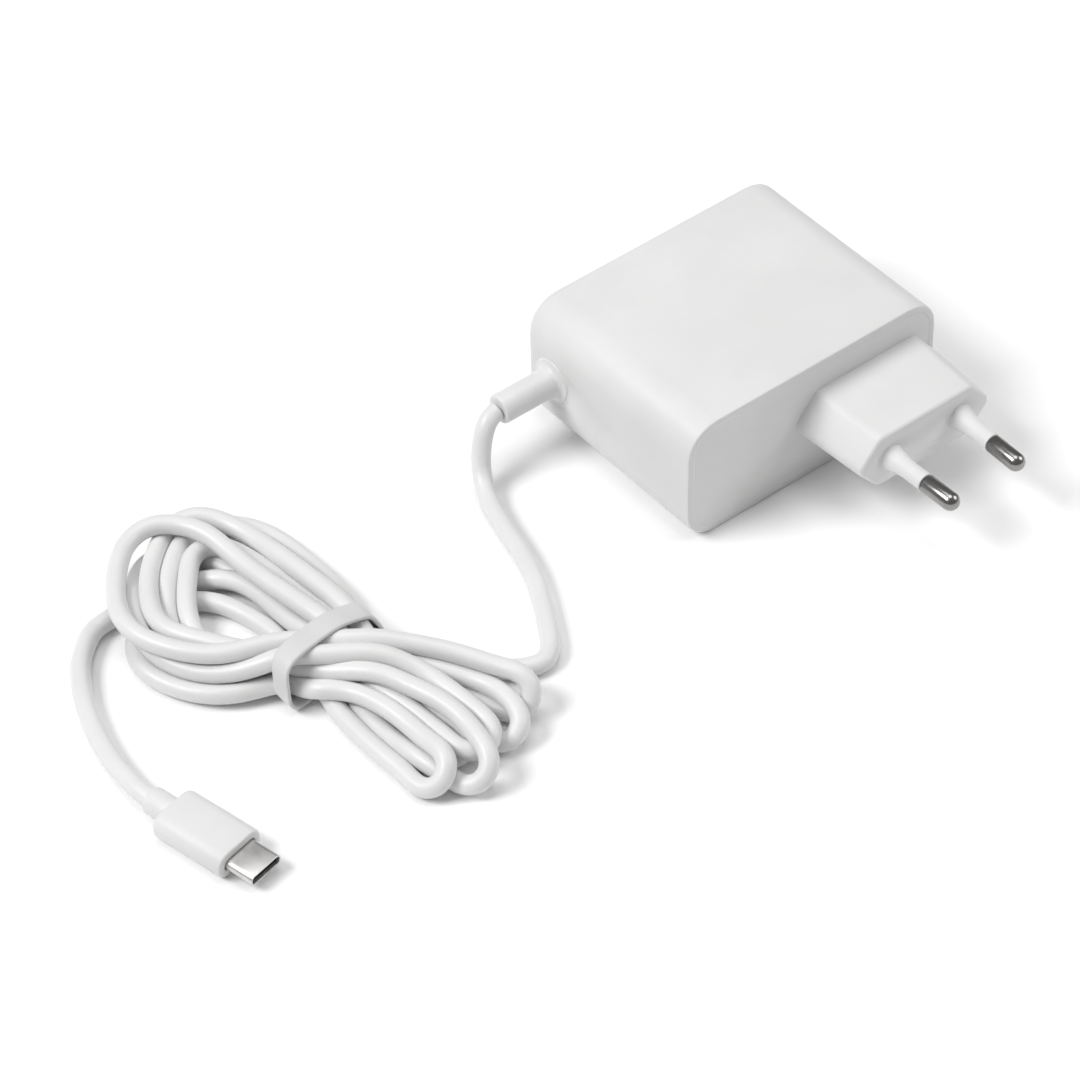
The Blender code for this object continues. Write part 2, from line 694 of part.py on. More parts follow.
def make_board_and_sheets():
    board = material("circuit_board", (0.05, 0.22, 0.10), 0.5)
    reach = INNER_RIGHT - BOARD_MARGIN
    board_depth = (BOARD_FRONT, BOARD_BACK)
    block("main_board", (-reach, reach), board_depth, (BOARD_BOTTOM, BOARD_TOP), board)
    film = material("insulating_film", (0.85, 0.83, 0.75), 0.4)
    half = INNER_RIGHT - SHEET_MARGIN
    under = INNER_FLOOR + GAP
    depth = (BOARD_FRONT + SHEET_END_MARGIN, BOARD_BACK - SHEET_END_MARGIN)
    block("bottom_film", (-half, half), depth, (under, under + FILM_THICKNESS), film)
    aluminium = material("aluminium", (0.80, 0.80, 0.80), 0.35, 1.0)
    height = (SPREADER_BOTTOM, SPREADER_BOTTOM + SPREADER_THICKNESS)
    block("top_heat_spreader", (-half, half), depth, height, aluminium)


def make_mains_side():
    """Fuse, filter, rectifier and storage, from the plug towards the transformer."""
    right = INNER_RIGHT - SIDE_CLEARANCE
    radius = FUSE_DIAMETER / 2
    fuse_place = (right - radius, BOARD_FRONT + FUSE_SETBACK + radius, STAND)
    shape = [(radius, 0.0), (radius, FUSE_HEIGHT - BLOCK_RADIUS)]
    turned("fuse", shape + [(radius - BLOCK_RADIUS, FUSE_HEIGHT)], fuse_place, black_resin())

    yellow = material("yellow_case", (0.80, 0.62, 0.10), 0.4)
    middle = (PLUG_CENTRE_X, BOARD_FRONT + X_CAPACITOR_SETBACK)
    on_board("x_capacitor", middle, X_CAPACITOR_SIZE, yellow)
    middle = (PLUG_CENTRE_X + BRIDGE_SHIFT, BOARD_FRONT + BRIDGE_SETBACK)
    on_board("bridge_rectifier", middle, BRIDGE_SIZE, black_resin())

    sleeve = material("blue_sleeve", (0.05, 0.08, 0.22), 0.35)
    start = BOARD_BACK - BULK_SETBACK - BULK_LENGTH
    for index, name in enumerate(("bulk_capacitor_outer", "bulk_capacitor_inner")):
        middle = right - BULK_DIAMETER / 2 - index * (BULK_DIAMETER + SIDE_CLEARANCE)
        make_bulk_can(name, middle, start, STAND + BULK_DIAMETER / 2, sleeve)


def make_bulk_can(name, x, start, z, finish):
    """An electrolytic capacitor lying along Y: a can with a rolled groove near its bung."""
    full = BULK_DIAMETER / 2
    narrow = full - BULK_EDGE
    radii = (full, narrow, narrow, full)
    stations = [(narrow, 0.0), (full, BULK_EDGE), *zip(radii, BULK_GROOVE)]
    stations += [(full, BULK_LENGTH - BULK_EDGE), (narrow, BULK_LENGTH)]
    rings = [across_y(circle(r), start + along, x, z) for r, along in stations]
    return loft(name, rings, finish)


def inner_bulk_edge():
    """The left side of the inner bulk capacitor, which the transformer stands clear of."""
    right = INNER_RIGHT - SIDE_CLEARANCE
    return right - 2 * BULK_DIAMETER - SIDE_CLEARANCE


def transformer_place():
    x = inner_bulk_edge() - TRANSFORMER_SPACE - CORE_WIDTH / 2
    return x, BOARD_BACK - TRANSFORMER_SETBACK


def make_transformer():
    ferrite = material("ferrite", (0.10, 0.10, 0.11), 0.6)
    x, y = transformer_place()
    outer = CORE_WIDTH / 2
    middle = CORE_CENTRE_LEG / 2
    inner = outer - CORE_LEG
    top = CORE_HALF_HEIGHT
    letter = [(-outer, 0), (outer, 0), (outer, top), (inner, top), (inner, CORE_LEG)]
    letter += [(middle, CORE_LEG), (middle, top), (-middle, top), (-middle, CORE_LEG)]
    letter += [(-inner, CORE_LEG), (-inner, top), (-outer, top)]
    whole = 2 * CORE_HALF_HEIGHT + GAP
    halves = (("transformer_core_lower", STAND, 1), ("transformer_core_upper", STAND + whole, -1))
    for name, base, way in halves:
        outline = [(x + u, base + way * v) for u, v in letter]
        prism(name, outline, y - CORE_DEPTH / 2, y + CORE_DEPTH / 2, across_y, ferrite)

    bore = (CORE_CENTRE_LEG + 2 * GAP, CORE_DEPTH + 2 * GAP)
    tube_size = (bore[0] + 2 * BOBBIN_WALL, bore[1] + 2 * BOBBIN_WALL)
    flange = (2 * (inner - GAP), BOBBIN_DEPTH)
    low = STAND + CORE_LEG + GAP
    high = STAND + whole - CORE_LEG - GAP
    cheek = BOBBIN_CHEEK
    levels = [(bore, low), (flange, low), (flange, low + cheek), (tube_size, low + cheek)]
    levels += [(tube_size, high - cheek), (flange, high - cheek), (flange, high), (bore, high)]
    rings = [across_z(rounded(*size, BOBBIN_RADIUS, 3), z, x, y) for size, z in levels]
    loft("transformer_bobbin", rings, black_resin(), closed=True)

    inside = (tube_size[0] + 2 * GAP, tube_size[1] + 2 * GAP)
    outside = (flange[0] - 2 * GAP, WINDING_DEPTH)
    low, high = low + cheek + GAP, high - cheek - GAP
    levels = [(inside, low), (outside, low), (outside, high), (inside, high)]
    rings = [across_z(rounded(*size, WINDING_RADIUS, 3), z, x, y) for size, z in levels]
    tape = material("yellow_tape", (0.85, 0.70, 0.15), 0.35)
    loft("transformer_winding", rings, tape, closed=True)

    grey = material("thermal_pad", (0.45, 0.48, 0.50), 0.8)
    height = (STAND + whole + GAP, SPREADER_BOTTOM - GAP)
    wide = CORE_WIDTH / 2 - PAD_MARGIN[0]
    deep = CORE_DEPTH / 2 - PAD_MARGIN[1]
    block("thermal_pad", (x - wide, x + wide), (y - deep, y + deep), height, grey)


def make_choke():
    """A ring core standing flat, with a winding round each half of it."""
    ferrite = material("ferrite", (0.10, 0.10, 0.11), 0.6)
    x = transformer_place()[0]
    y = BOARD_FRONT + CHOKE_SETBACK
    outer, inner = CHOKE_DIAMETER / 2, CHOKE_BORE / 2
    around = GAP + CHOKE_WIRE
    base = STAND + around
    top = base + CHOKE_HEIGHT
    levels = [(inner, base), (outer, base), (outer, top), (inner, top)]
    rings = [across_z(circle(r, FINE_STEPS), z, x, y) for r, z in levels]
    loft("choke_core", rings, ferrite, closed=True)

    copper = material("copper", (0.72, 0.33, 0.16), 0.3, 1.0)
    for name, middle in (("choke_winding_left", 180), ("choke_winding_right", 0)):
        outside, inside = [], []
        for i in range(11):
            turn = math.radians(middle + CHOKE_SPAN * (i / 10 - 0.5))
            for grow, rows in ((around, outside), (GAP, inside)):
                near, far = inner - grow, outer + grow
                low, high = base - grow, top + grow
                section = [(near, low), (far, low), (far, high), (near, high)]
                ring = [(x + r * math.cos(turn), y + r * math.sin(turn), z) for r, z in section]
                rows.append(ring)
        loft(name, outside + inside[::-1], copper, closed=True)


def make_switching():
    """The switching transistor on its heat plate, and the chips under the board."""
    aluminium = material("aluminium", (0.80, 0.80, 0.80), 0.35, 1.0)
    left = INNER_LEFT + HEAT_PLATE_MARGIN
    front = BOARD_FRONT + HEAT_PLATE_SETBACK
    width, thickness, height = HEAT_PLATE_SIZE
    middle = (left + width / 2, front + thickness / 2)
    on_board("heat_plate", middle, HEAT_PLATE_SIZE, aluminium)
    middle = (left + TRANSISTOR_SHIFT, front + thickness + GAP + TRANSISTOR_SIZE[1] / 2)
    transistor = on_board(
        "switching_transistor", middle, TRANSISTOR_SIZE, black_resin(), lift=TRANSISTOR_LIFT
    )
    for index in (-1, 0, 1):
        place = (middle[0] + index * LEG_PITCH, middle[1])
        leg = on_board(f"transistor_leg_{index + 1}", place, LEG_SIZE, steel(), SHEET_RADIUS)
        combine(transistor, leg, "UNION")
    middle = (CONTROLLER_X, BOARD_FRONT + CONTROLLER_SETBACK)
    under_board("controller_chip", middle, CONTROLLER_SIZE, black_resin())
    middle = (SYNCHRONOUS_X, BOARD_BACK - SYNCHRONOUS_SETBACK)
    under_board("synchronous_rectifier", middle, SYNCHRONOUS_SIZE, black_resin())


def barrier_wall():
    """The insulating barrier's face towards the transformer."""
    return transformer_place()[0] - CORE_WIDTH / 2 - BARRIER_SPACE


def make_isolation():
    """What parts the mains side from the low-voltage side: barrier, optocoupler, Y capacitor."""
    x = transformer_place()[0]
    wall = barrier_wall()
    film = material("insulating_film", (0.85, 0.83, 0.75), 0.4)
    back = BOARD_BACK - BARRIER_SETBACK
    height = (STAND, SPREADER_BOTTOM - BARRIER_HEADROOM)
    thick = (wall - BARRIER_THICKNESS, wall)
    block("insulating_barrier", thick, (back - BARRIER_LENGTH, back), height, film, SHEET_RADIUS)
    middle = (wall + OPTOCOUPLER_SHIFT, BOARD_FRONT + OPTOCOUPLER_SETBACK)
    on_board("optocoupler", middle, OPTOCOUPLER_SIZE, black_resin())

    blue = material("ceramic_blue", (0.10, 0.25, 0.60), 0.4)
    radius = Y_CAPACITOR_DIAMETER / 2
    small = radius - Y_CAPACITOR_EDGE
    thick = Y_CAPACITOR_THICKNESS
    stations = [(small, 0.0), (radius, Y_CAPACITOR_EDGE)]
    stations += [(radius, thick - Y_CAPACITOR_EDGE), (small, thick)]
    start = BOARD_BACK - Y_CAPACITOR_SETBACK - thick
    place = (x + Y_CAPACITOR_SHIFT, STAND + radius)
    loft("y_capacitor", [across_y(circle(r), start + along, *place) for r, along in stations], blue)


def make_output_side():
    """Output capacitors, inductor and the upright power-delivery board."""
    silver = material("aluminium", (0.80, 0.80, 0.80), 0.35, 1.0)
    radius = OUTPUT_CAN_DIAMETER / 2
    edge, top = OUTPUT_CAN_EDGE, OUTPUT_CAN_HEIGHT
    shape = [(radius - edge, 0.0), (radius, edge), (radius, top - edge), (radius - edge, top)]
    x = INNER_LEFT + OUTPUT_CAN_MARGIN
    for index, name in enumerate(("output_capacitor_front", "output_capacitor_back")):
        y = BOARD_BACK - OUTPUT_CAN_SETBACK + index * (OUTPUT_CAN_DIAMETER + SIDE_CLEARANCE)
        turned(name, shape, (x, y, STAND), silver)
    ferrite = material("ferrite", (0.10, 0.10, 0.11), 0.6)
    right = barrier_wall() - BARRIER_THICKNESS - INDUCTOR_SPACE
    middle = (right - INDUCTOR_SIZE[0] / 2, BOARD_BACK - INDUCTOR_SETBACK)
    on_board("output_inductor", middle, INDUCTOR_SIZE, ferrite)

    board = material("circuit_board", (0.05, 0.22, 0.10), 0.5)
    face = INNER_LEFT + DELIVERY_BOARD_MARGIN + DELIVERY_BOARD_THICKNESS
    back = BOARD_BACK - DELIVERY_BOARD_SETBACK
    thick = (face - DELIVERY_BOARD_THICKNESS, face)
    height = (STAND, STAND + DELIVERY_BOARD_HEIGHT)
    length = (back - DELIVERY_BOARD_LENGTH, back)
    block("power_delivery_board", thick, length, height, board, SHEET_RADIUS)
    chip = DELIVERY_CHIP_SIZE
    middle = back - DELIVERY_BOARD_LENGTH / 2
    thick = (face + GAP, face + GAP + chip[0])
    length = (middle - chip[1] / 2, middle + chip[1] / 2)
    height = (STAND + DELIVERY_CHIP_LIFT, STAND + DELIVERY_CHIP_LIFT + chip[2])
    block("power_delivery_chip", thick, length, height, black_resin(), SHEET_RADIUS)


def make_output_wires():
    """Three wires from the cord's inner end down to the board."""
    start_x = INNER_LEFT + GAP + LOCK_THICKNESS + GAP
    colours = {
        "output_wire_positive": ((0.60, 0.05, 0.04), -1),
        "output_wire_signal": ((0.85, 0.85, 0.82), 0),
        "output_wire_negative": ((0.03, 0.03, 0.03), 1),
    }
    for name, (colour, index) in colours.items():
        finish = material(name, colour, 0.4)
        near = RELIEF_Y + index * WIRE_PITCH_AT_RELIEF
        far = RELIEF_Y + index * WIRE_PITCH_AT_BOARD
        bend = start_x + WIRE_REACH
        line = [
            (start_x, near, RELIEF_Z),
            (start_x + WIRE_REACH * 0.36, near, RELIEF_Z),
            (start_x + WIRE_REACH * 0.79, (near + far) / 2, (RELIEF_Z * 2 + STAND) / 3),
            (start_x + WIRE_REACH * 0.97, far, (RELIEF_Z + STAND * 3) / 4),
            (bend, far, STAND),
        ]
        tube(name, smooth_line(line, WIRE_STEP), WIRE_DIAMETER, finish)


# ---------------------------------------------------------------- strain relief and cord

def make_strain_relief():
    """A round boot with a flange in the housing's recess and a lock behind its wall."""
    face = -HOUSING_WIDTH / 2
    proud = face - FLANGE_PROUD
    seat = face + RECESS_DEPTH - GAP
    lock_face = INNER_LEFT + GAP
    radius = RELIEF_DIAMETER / 2
    flange = FLANGE_DIAMETER / 2
    lock = LOCK_DIAMETER / 2
    stations = []
    for i in range(4):
        turn = math.radians(30 * i)
        along = EXIT.x + RELIEF_END_RADIUS * (1 - math.sin(turn))
        stations.append((along, radius - RELIEF_END_RADIUS * (1 - math.cos(turn))))
    stations.reverse()
    fillet = min(RELIEF_FILLET, flange - FLANGE_PROUD - radius - FINE_GAP)
    for i in range(4):
        turn = math.radians(30 * i)
        along = proud - fillet * (1 - math.sin(turn))
        stations.append((along, radius + fillet * (1 - math.cos(turn))))
    stations += [(proud, flange - FLANGE_PROUD), (face, flange), (seat, flange), (seat, radius)]
    stations += [(lock_face, radius), (lock_face, lock), (lock_face + LOCK_THICKNESS, lock)]
    rings = [across_x(circle(r, FINE_STEPS), x, RELIEF_Y, RELIEF_Z) for x, r in stations]
    return loft("strain_relief", rings, white_soft())


def cord_points(route, top):
    """A route's points in space: top is the height that a share of 1 stands for."""
    base = CORD_DIAMETER / 2 + CORD_CLEARANCE
    return [Vector((EXIT.x + x, EXIT.y + y, base + (top - base) * up)) for x, y, up in route]


def make_cord():
    lead = cord_points(LEAD_ROUTE, RELIEF_Z)
    lead_line = lead[:1] + smooth_line(lead[1:], CORD_STEP)
    tube("cord_lead", lead_line, CORD_DIAMETER, white_soft())
    tail = cord_points(TAIL_ROUTE, connector_height())
    tail_line = smooth_line(tail[:-1], CORD_STEP) + tail[-1:]
    tube("cord_tail", tail_line, CORD_DIAMETER, white_soft())

    rings = []
    for y, left, right, low, high in HANK_PLAN:
        outline = rounded(right - left, high - low, hank_radius(low, high), 3)
        middle = (EXIT.x + (left + right) / 2, (low + high) / 2)
        rings.append(across_y(outline, EXIT.y + y, *middle))
    loft("cord_hank", rings, white_soft())


def hank_radius(low, high):
    return (high - low) * HANK_ROUNDNESS


def make_tie_strap():
    """A soft band round the hank's waist."""
    start, left, right, low, high = HANK_PLAN[HANK_WAIST]
    middle_y = EXIT.y + (start + HANK_PLAN[HANK_WAIST + 1][0]) / 2
    middle = (EXIT.x + (left + right) / 2, (low + high) / 2)
    inside = (right - left + 2 * GAP, high - low + 2 * GAP)
    outside = (inside[0] + 2 * STRAP_THICKNESS, inside[1] + 2 * STRAP_THICKNESS)
    radius = hank_radius(low, high) + GAP
    inner = rounded(*inside, radius)
    outer = rounded(*outside, radius + STRAP_THICKNESS)
    edges = (middle_y - STRAP_WIDTH / 2, middle_y + STRAP_WIDTH / 2)
    rings = [across_y(inner, edges[0], *middle), across_y(outer, edges[0], *middle)]
    rings += [across_y(outer, edges[1], *middle), across_y(inner, edges[1], *middle)]
    strap = material("strap", (0.74, 0.74, 0.74), 0.6)
    loft("tie_strap", rings, strap, closed=True)


# ---------------------------------------------------------------- USB-C connector

def connector_height():
    return OVERMOULD_HEIGHT / 2


def connector_frame():
    """An empty at the overmould's rear end, its X along the connector towards the mouth."""
    anchor = bpy.data.objects.new("connector_anchor", None)
    bpy.context.scene.collection.objects.link(anchor)
    offset_x, offset_y = CONNECTOR_OFFSET
    anchor.location = (EXIT.x + offset_x, EXIT.y + offset_y, connector_height())
    anchor.rotation_euler = (0.0, 0.0, CONNECTOR_TURN)
    return anchor


def make_overmould(anchor):
    stations = []
    for i in range(5):
        turn = math.radians(90 * i / 4)
        reach = OVERMOULD_REAR_RADIUS
        stations.append((reach * (1 - math.cos(turn)), reach * (1 - math.sin(turn))))
    for i in range(3):
        turn = math.radians(90 * i / 2)
        reach = OVERMOULD_FRONT_RADIUS
        along = OVERMOULD_LENGTH - reach * (1 - math.sin(turn))
        stations.append((along, reach * (1 - math.cos(turn))))
    rings = []
    for x, inset in stations:
        size = (OVERMOULD_WIDTH - 2 * inset, OVERMOULD_HEIGHT - 2 * inset)
        rings.append(across_x(rounded(*size, OVERMOULD_RADIUS - inset), x))
    mouth = (SHELL_WIDTH + 4 * FINE_GAP, SHELL_HEIGHT + 4 * FINE_GAP)
    outline = rounded(*mouth, SHELL_HEIGHT / 2 + FINE_GAP)
    rings += [across_x(outline, OVERMOULD_LENGTH)]
    rings += [across_x(outline, OVERMOULD_LENGTH - OVERMOULD_CAVITY)]
    loft("connector_overmould", rings, white_plastic(), parent=anchor)

    radius = COLLAR_DIAMETER / 2
    rear = -GAP - COLLAR_LENGTH
    profile = []
    for i in range(4):
        turn = math.radians(30 * i)
        along = rear + COLLAR_RADIUS * (1 - math.cos(turn))
        profile.append((along, radius - COLLAR_RADIUS * (1 - math.sin(turn))))
    profile.append((-GAP, radius))
    rings = [across_x(circle(r, 24), x) for x, r in profile]
    loft("connector_collar", rings, white_plastic(), parent=anchor)


def make_connector_metal(anchor):
    tip = OVERMOULD_LENGTH + SHELL_EXPOSED
    heel = OVERMOULD_LENGTH - SHELL_HELD
    inside = (SHELL_WIDTH - 2 * SHELL_WALL, SHELL_HEIGHT - 2 * SHELL_WALL)
    outer, inner = stadium(SHELL_WIDTH, SHELL_HEIGHT), stadium(*inside)
    rings = [across_x(inner, heel), across_x(outer, heel)]
    rings += [across_x(outer, tip), across_x(inner, tip)]
    loft("connector_shell", rings, steel(), closed=True, parent=anchor)

    body = (inside[0] - 2 * FINE_GAP, inside[1] - 2 * FINE_GAP)
    cavity = (body[0] - 2 * INSULATOR_WALL, body[1] - 2 * INSULATOR_WALL)
    outer, inner = stadium(*body), stadium(*cavity)
    start = heel + INSULATOR_HEEL
    floor = start + INSULATOR_HEEL
    mouth = tip - INSULATOR_INSET
    rings = [across_x(outer, start), across_x(outer, mouth)]
    rings += [across_x(inner, mouth), across_x(inner, floor)]
    loft("connector_insulator", rings, black_resin(), parent=anchor)

    gold = material("gold", (0.90, 0.68, 0.30), 0.25, 1.0)
    ceiling = cavity[1] / 2 - FINE_GAP
    root = floor + GAP
    for name, way in (("upper_contacts", 1), ("lower_contacts", -1)):
        outline = comb(root, root + CONTACT_BAR, tip - CONTACT_INSET)
        levels = sorted((way * ceiling, way * (ceiling - CONTACT_THICKNESS)))
        loft(name, [across_z(outline, z) for z in levels], gold, parent=anchor)

    board = material("circuit_board", (0.05, 0.22, 0.10), 0.5)
    wide = SHELL_WIDTH / 2 - GAP
    thick = CONNECTOR_BOARD_THICKNESS / 2
    reach = (OVERMOULD_LENGTH - OVERMOULD_CAVITY + GAP, heel - GAP)
    size = (reach, (-wide, wide), (-thick, thick))
    block("connector_board", *size, board, SHEET_RADIUS, parent=anchor)


def stadium(width, height):
    """An outline with fully round ends, but for a short flat that keeps its points apart."""
    return rounded(width, height, height / 2 - FINE_GAP)


def comb(root, bar, end):
    """A row of contact fingers that share a bar at their root."""
    half = (CONTACT_COUNT - 1) * CONTACT_PITCH / 2 + CONTACT_WIDTH / 2
    points = [(root, half), (root, -half)]
    for i in range(CONTACT_COUNT):
        middle = (i - (CONTACT_COUNT - 1) / 2) * CONTACT_PITCH
        low, high = middle - CONTACT_WIDTH / 2, middle + CONTACT_WIDTH / 2
        points += [(end, low), (end, high)]
        if i < CONTACT_COUNT - 1:
            points += [(bar, high), (bar, low + CONTACT_PITCH)]
    return points


# ---------------------------------------------------------------- the whole

def main():
    clear_scene()
    make_housing_shell()
    anchors = {"left": pin_frame(-1), "right": pin_frame(1)}
    make_plug_cover(anchors)
    for side, sign in (("left", -1), ("right", 1)):
        make_pin(side, anchors[side])
        make_pin_sleeve(side, anchors[side])
        make_contact_spring(side, sign)
    make_board_and_sheets()
    make_mains_side()
    make_transformer()
    make_choke()
    make_switching()
    make_isolation()
    make_output_side()
    make_output_wires()
    make_strain_relief()
    make_cord()
    make_tie_strap()
    connector = connector_frame()
    make_overmould(connector)
    make_connector_metal(connector)


main()
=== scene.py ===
"""The looks of a laptop power adapter: finishes, edges, the captive cord with its hank, and the strap.

Metres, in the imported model's own frame: the housing lies on its large face, -Y is the way the
mains pins point, and Z is up.
"""

import json
import math

import bmesh
import bpy
import numpy as np
from mathutils import Matrix, Vector


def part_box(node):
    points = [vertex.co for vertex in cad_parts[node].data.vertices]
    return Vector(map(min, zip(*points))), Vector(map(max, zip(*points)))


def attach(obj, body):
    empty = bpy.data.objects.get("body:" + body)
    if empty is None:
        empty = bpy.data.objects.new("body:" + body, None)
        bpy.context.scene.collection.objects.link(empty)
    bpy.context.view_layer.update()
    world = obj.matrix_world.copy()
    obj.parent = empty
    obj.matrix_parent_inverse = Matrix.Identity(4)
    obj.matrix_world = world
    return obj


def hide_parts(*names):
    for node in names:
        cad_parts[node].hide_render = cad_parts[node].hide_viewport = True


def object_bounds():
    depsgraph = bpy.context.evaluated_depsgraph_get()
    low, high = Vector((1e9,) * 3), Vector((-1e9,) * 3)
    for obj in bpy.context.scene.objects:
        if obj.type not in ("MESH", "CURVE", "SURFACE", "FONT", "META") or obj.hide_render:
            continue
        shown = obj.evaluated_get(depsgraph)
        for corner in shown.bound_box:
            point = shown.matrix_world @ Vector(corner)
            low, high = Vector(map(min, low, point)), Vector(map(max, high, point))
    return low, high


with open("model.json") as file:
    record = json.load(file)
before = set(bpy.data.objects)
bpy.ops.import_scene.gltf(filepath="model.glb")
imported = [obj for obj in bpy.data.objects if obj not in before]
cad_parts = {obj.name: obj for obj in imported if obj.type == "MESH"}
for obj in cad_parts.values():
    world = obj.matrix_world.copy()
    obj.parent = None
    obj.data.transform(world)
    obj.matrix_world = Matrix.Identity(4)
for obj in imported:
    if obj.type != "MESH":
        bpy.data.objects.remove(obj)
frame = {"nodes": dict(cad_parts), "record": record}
cad_low, cad_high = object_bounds()
NODES = frame["nodes"]

# ---------------------------------------------------------------- sizes and places

CAMERA_AIM = Vector((-0.0557, 0.0122, 0.0012))
CAMERA_AZIMUTH = math.radians(-37.84)
CAMERA_ELEVATION = math.radians(44.64)
CAMERA_ROLL = math.radians(-1.31)
CAMERA_DISTANCE = 0.8979
CAMERA_LENS = 148.5
SENSOR_WIDTH = 36.0

# The strain relief's end face, where the cord leaves the object
RELIEF_LOW, RELIEF_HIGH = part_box("strain_relief")
EXIT = Vector((RELIEF_LOW.x, (RELIEF_LOW.y + RELIEF_HIGH.y) / 2, (RELIEF_LOW.z + RELIEF_HIGH.z) / 2))

CORD_DIAMETER = 0.0041
CORD_BASE = CORD_DIAMETER / 2 + 0.0001
ROUTE_STEP = 0.002
OVERMOULD_LOW, OVERMOULD_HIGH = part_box("connector_overmould")
CONNECTOR_HEIGHT = (OVERMOULD_LOW.z + OVERMOULD_HIGH.z) / 2

# The cord's free stretches: X and Y from the exit, and the share of the way up to its end
LEAD_ROUTE = [
    (-0.0005, 0.0, 1.0),
    (-0.0015, 0.0, 1.0),
    (-0.0029, -0.0003, 0.94),
    (-0.0047, -0.0010, 0.76),
    (-0.0063, -0.0021, 0.49),
    (-0.0077, -0.0038, 0.23),
    (-0.0091, -0.0067, 0.07),
    (-0.0105, -0.0102, 0.01),
    (-0.0116, -0.0140, 0.0),
    (-0.0129, -0.0187, 0.0),
    (-0.0141, -0.0240, 0.0),
    (-0.0156, -0.0292, 0.0),
    (-0.0177, -0.0344, 0.0),
    (-0.0204, -0.0396, 0.0),
    (-0.0236, -0.0452, 0.0),
    (-0.0262, -0.0492, 0.0),
    (-0.0288, -0.0514, 0.0),
    (-0.0319, -0.0519, 0.0),
    (-0.0345, -0.0506, 0.0),
    (-0.0364, -0.0491, 0.0),
]
TAIL_ROUTE = [
    (-0.0899, 0.0123, 0.0),
    (-0.0927, 0.0118, 0.0),
    (-0.0957, 0.0101, 0.0),
    (-0.0988, 0.0074, 0.0),
    (-0.1017, 0.0040, 0.0),
    (-0.1041, -0.0002, 0.0),
    (-0.1063, -0.0050, 0.0),
    (-0.1081, -0.0100, 0.0),
    (-0.1095, -0.0154, 0.06),
    (-0.1105, -0.0210, 0.28),
    (-0.1110, -0.0268, 0.68),
    (-0.11101, -0.03177, 0.98),
    (-0.11080, -0.03275, 1.0),
]

# The way into and out of the hank, X, Y and Z from the point on the ground below the exit
HANK_ENTRY = [
    (-0.0397, -0.0464, 0.00215),
    (-0.0442, -0.0405, 0.0023),
    (-0.0472, -0.0345, 0.0030),
    (-0.0496, -0.0280, 0.0036),
]
HANK_LEAVING = [
    (-0.0662, -0.0140, 0.0034),
    (-0.0669, -0.0065, 0.0024),
    (-0.0696, 0.0022, 0.00215),
    (-0.0756, 0.0076, 0.00215),
    (-0.0830, 0.0114, 0.00215),
]

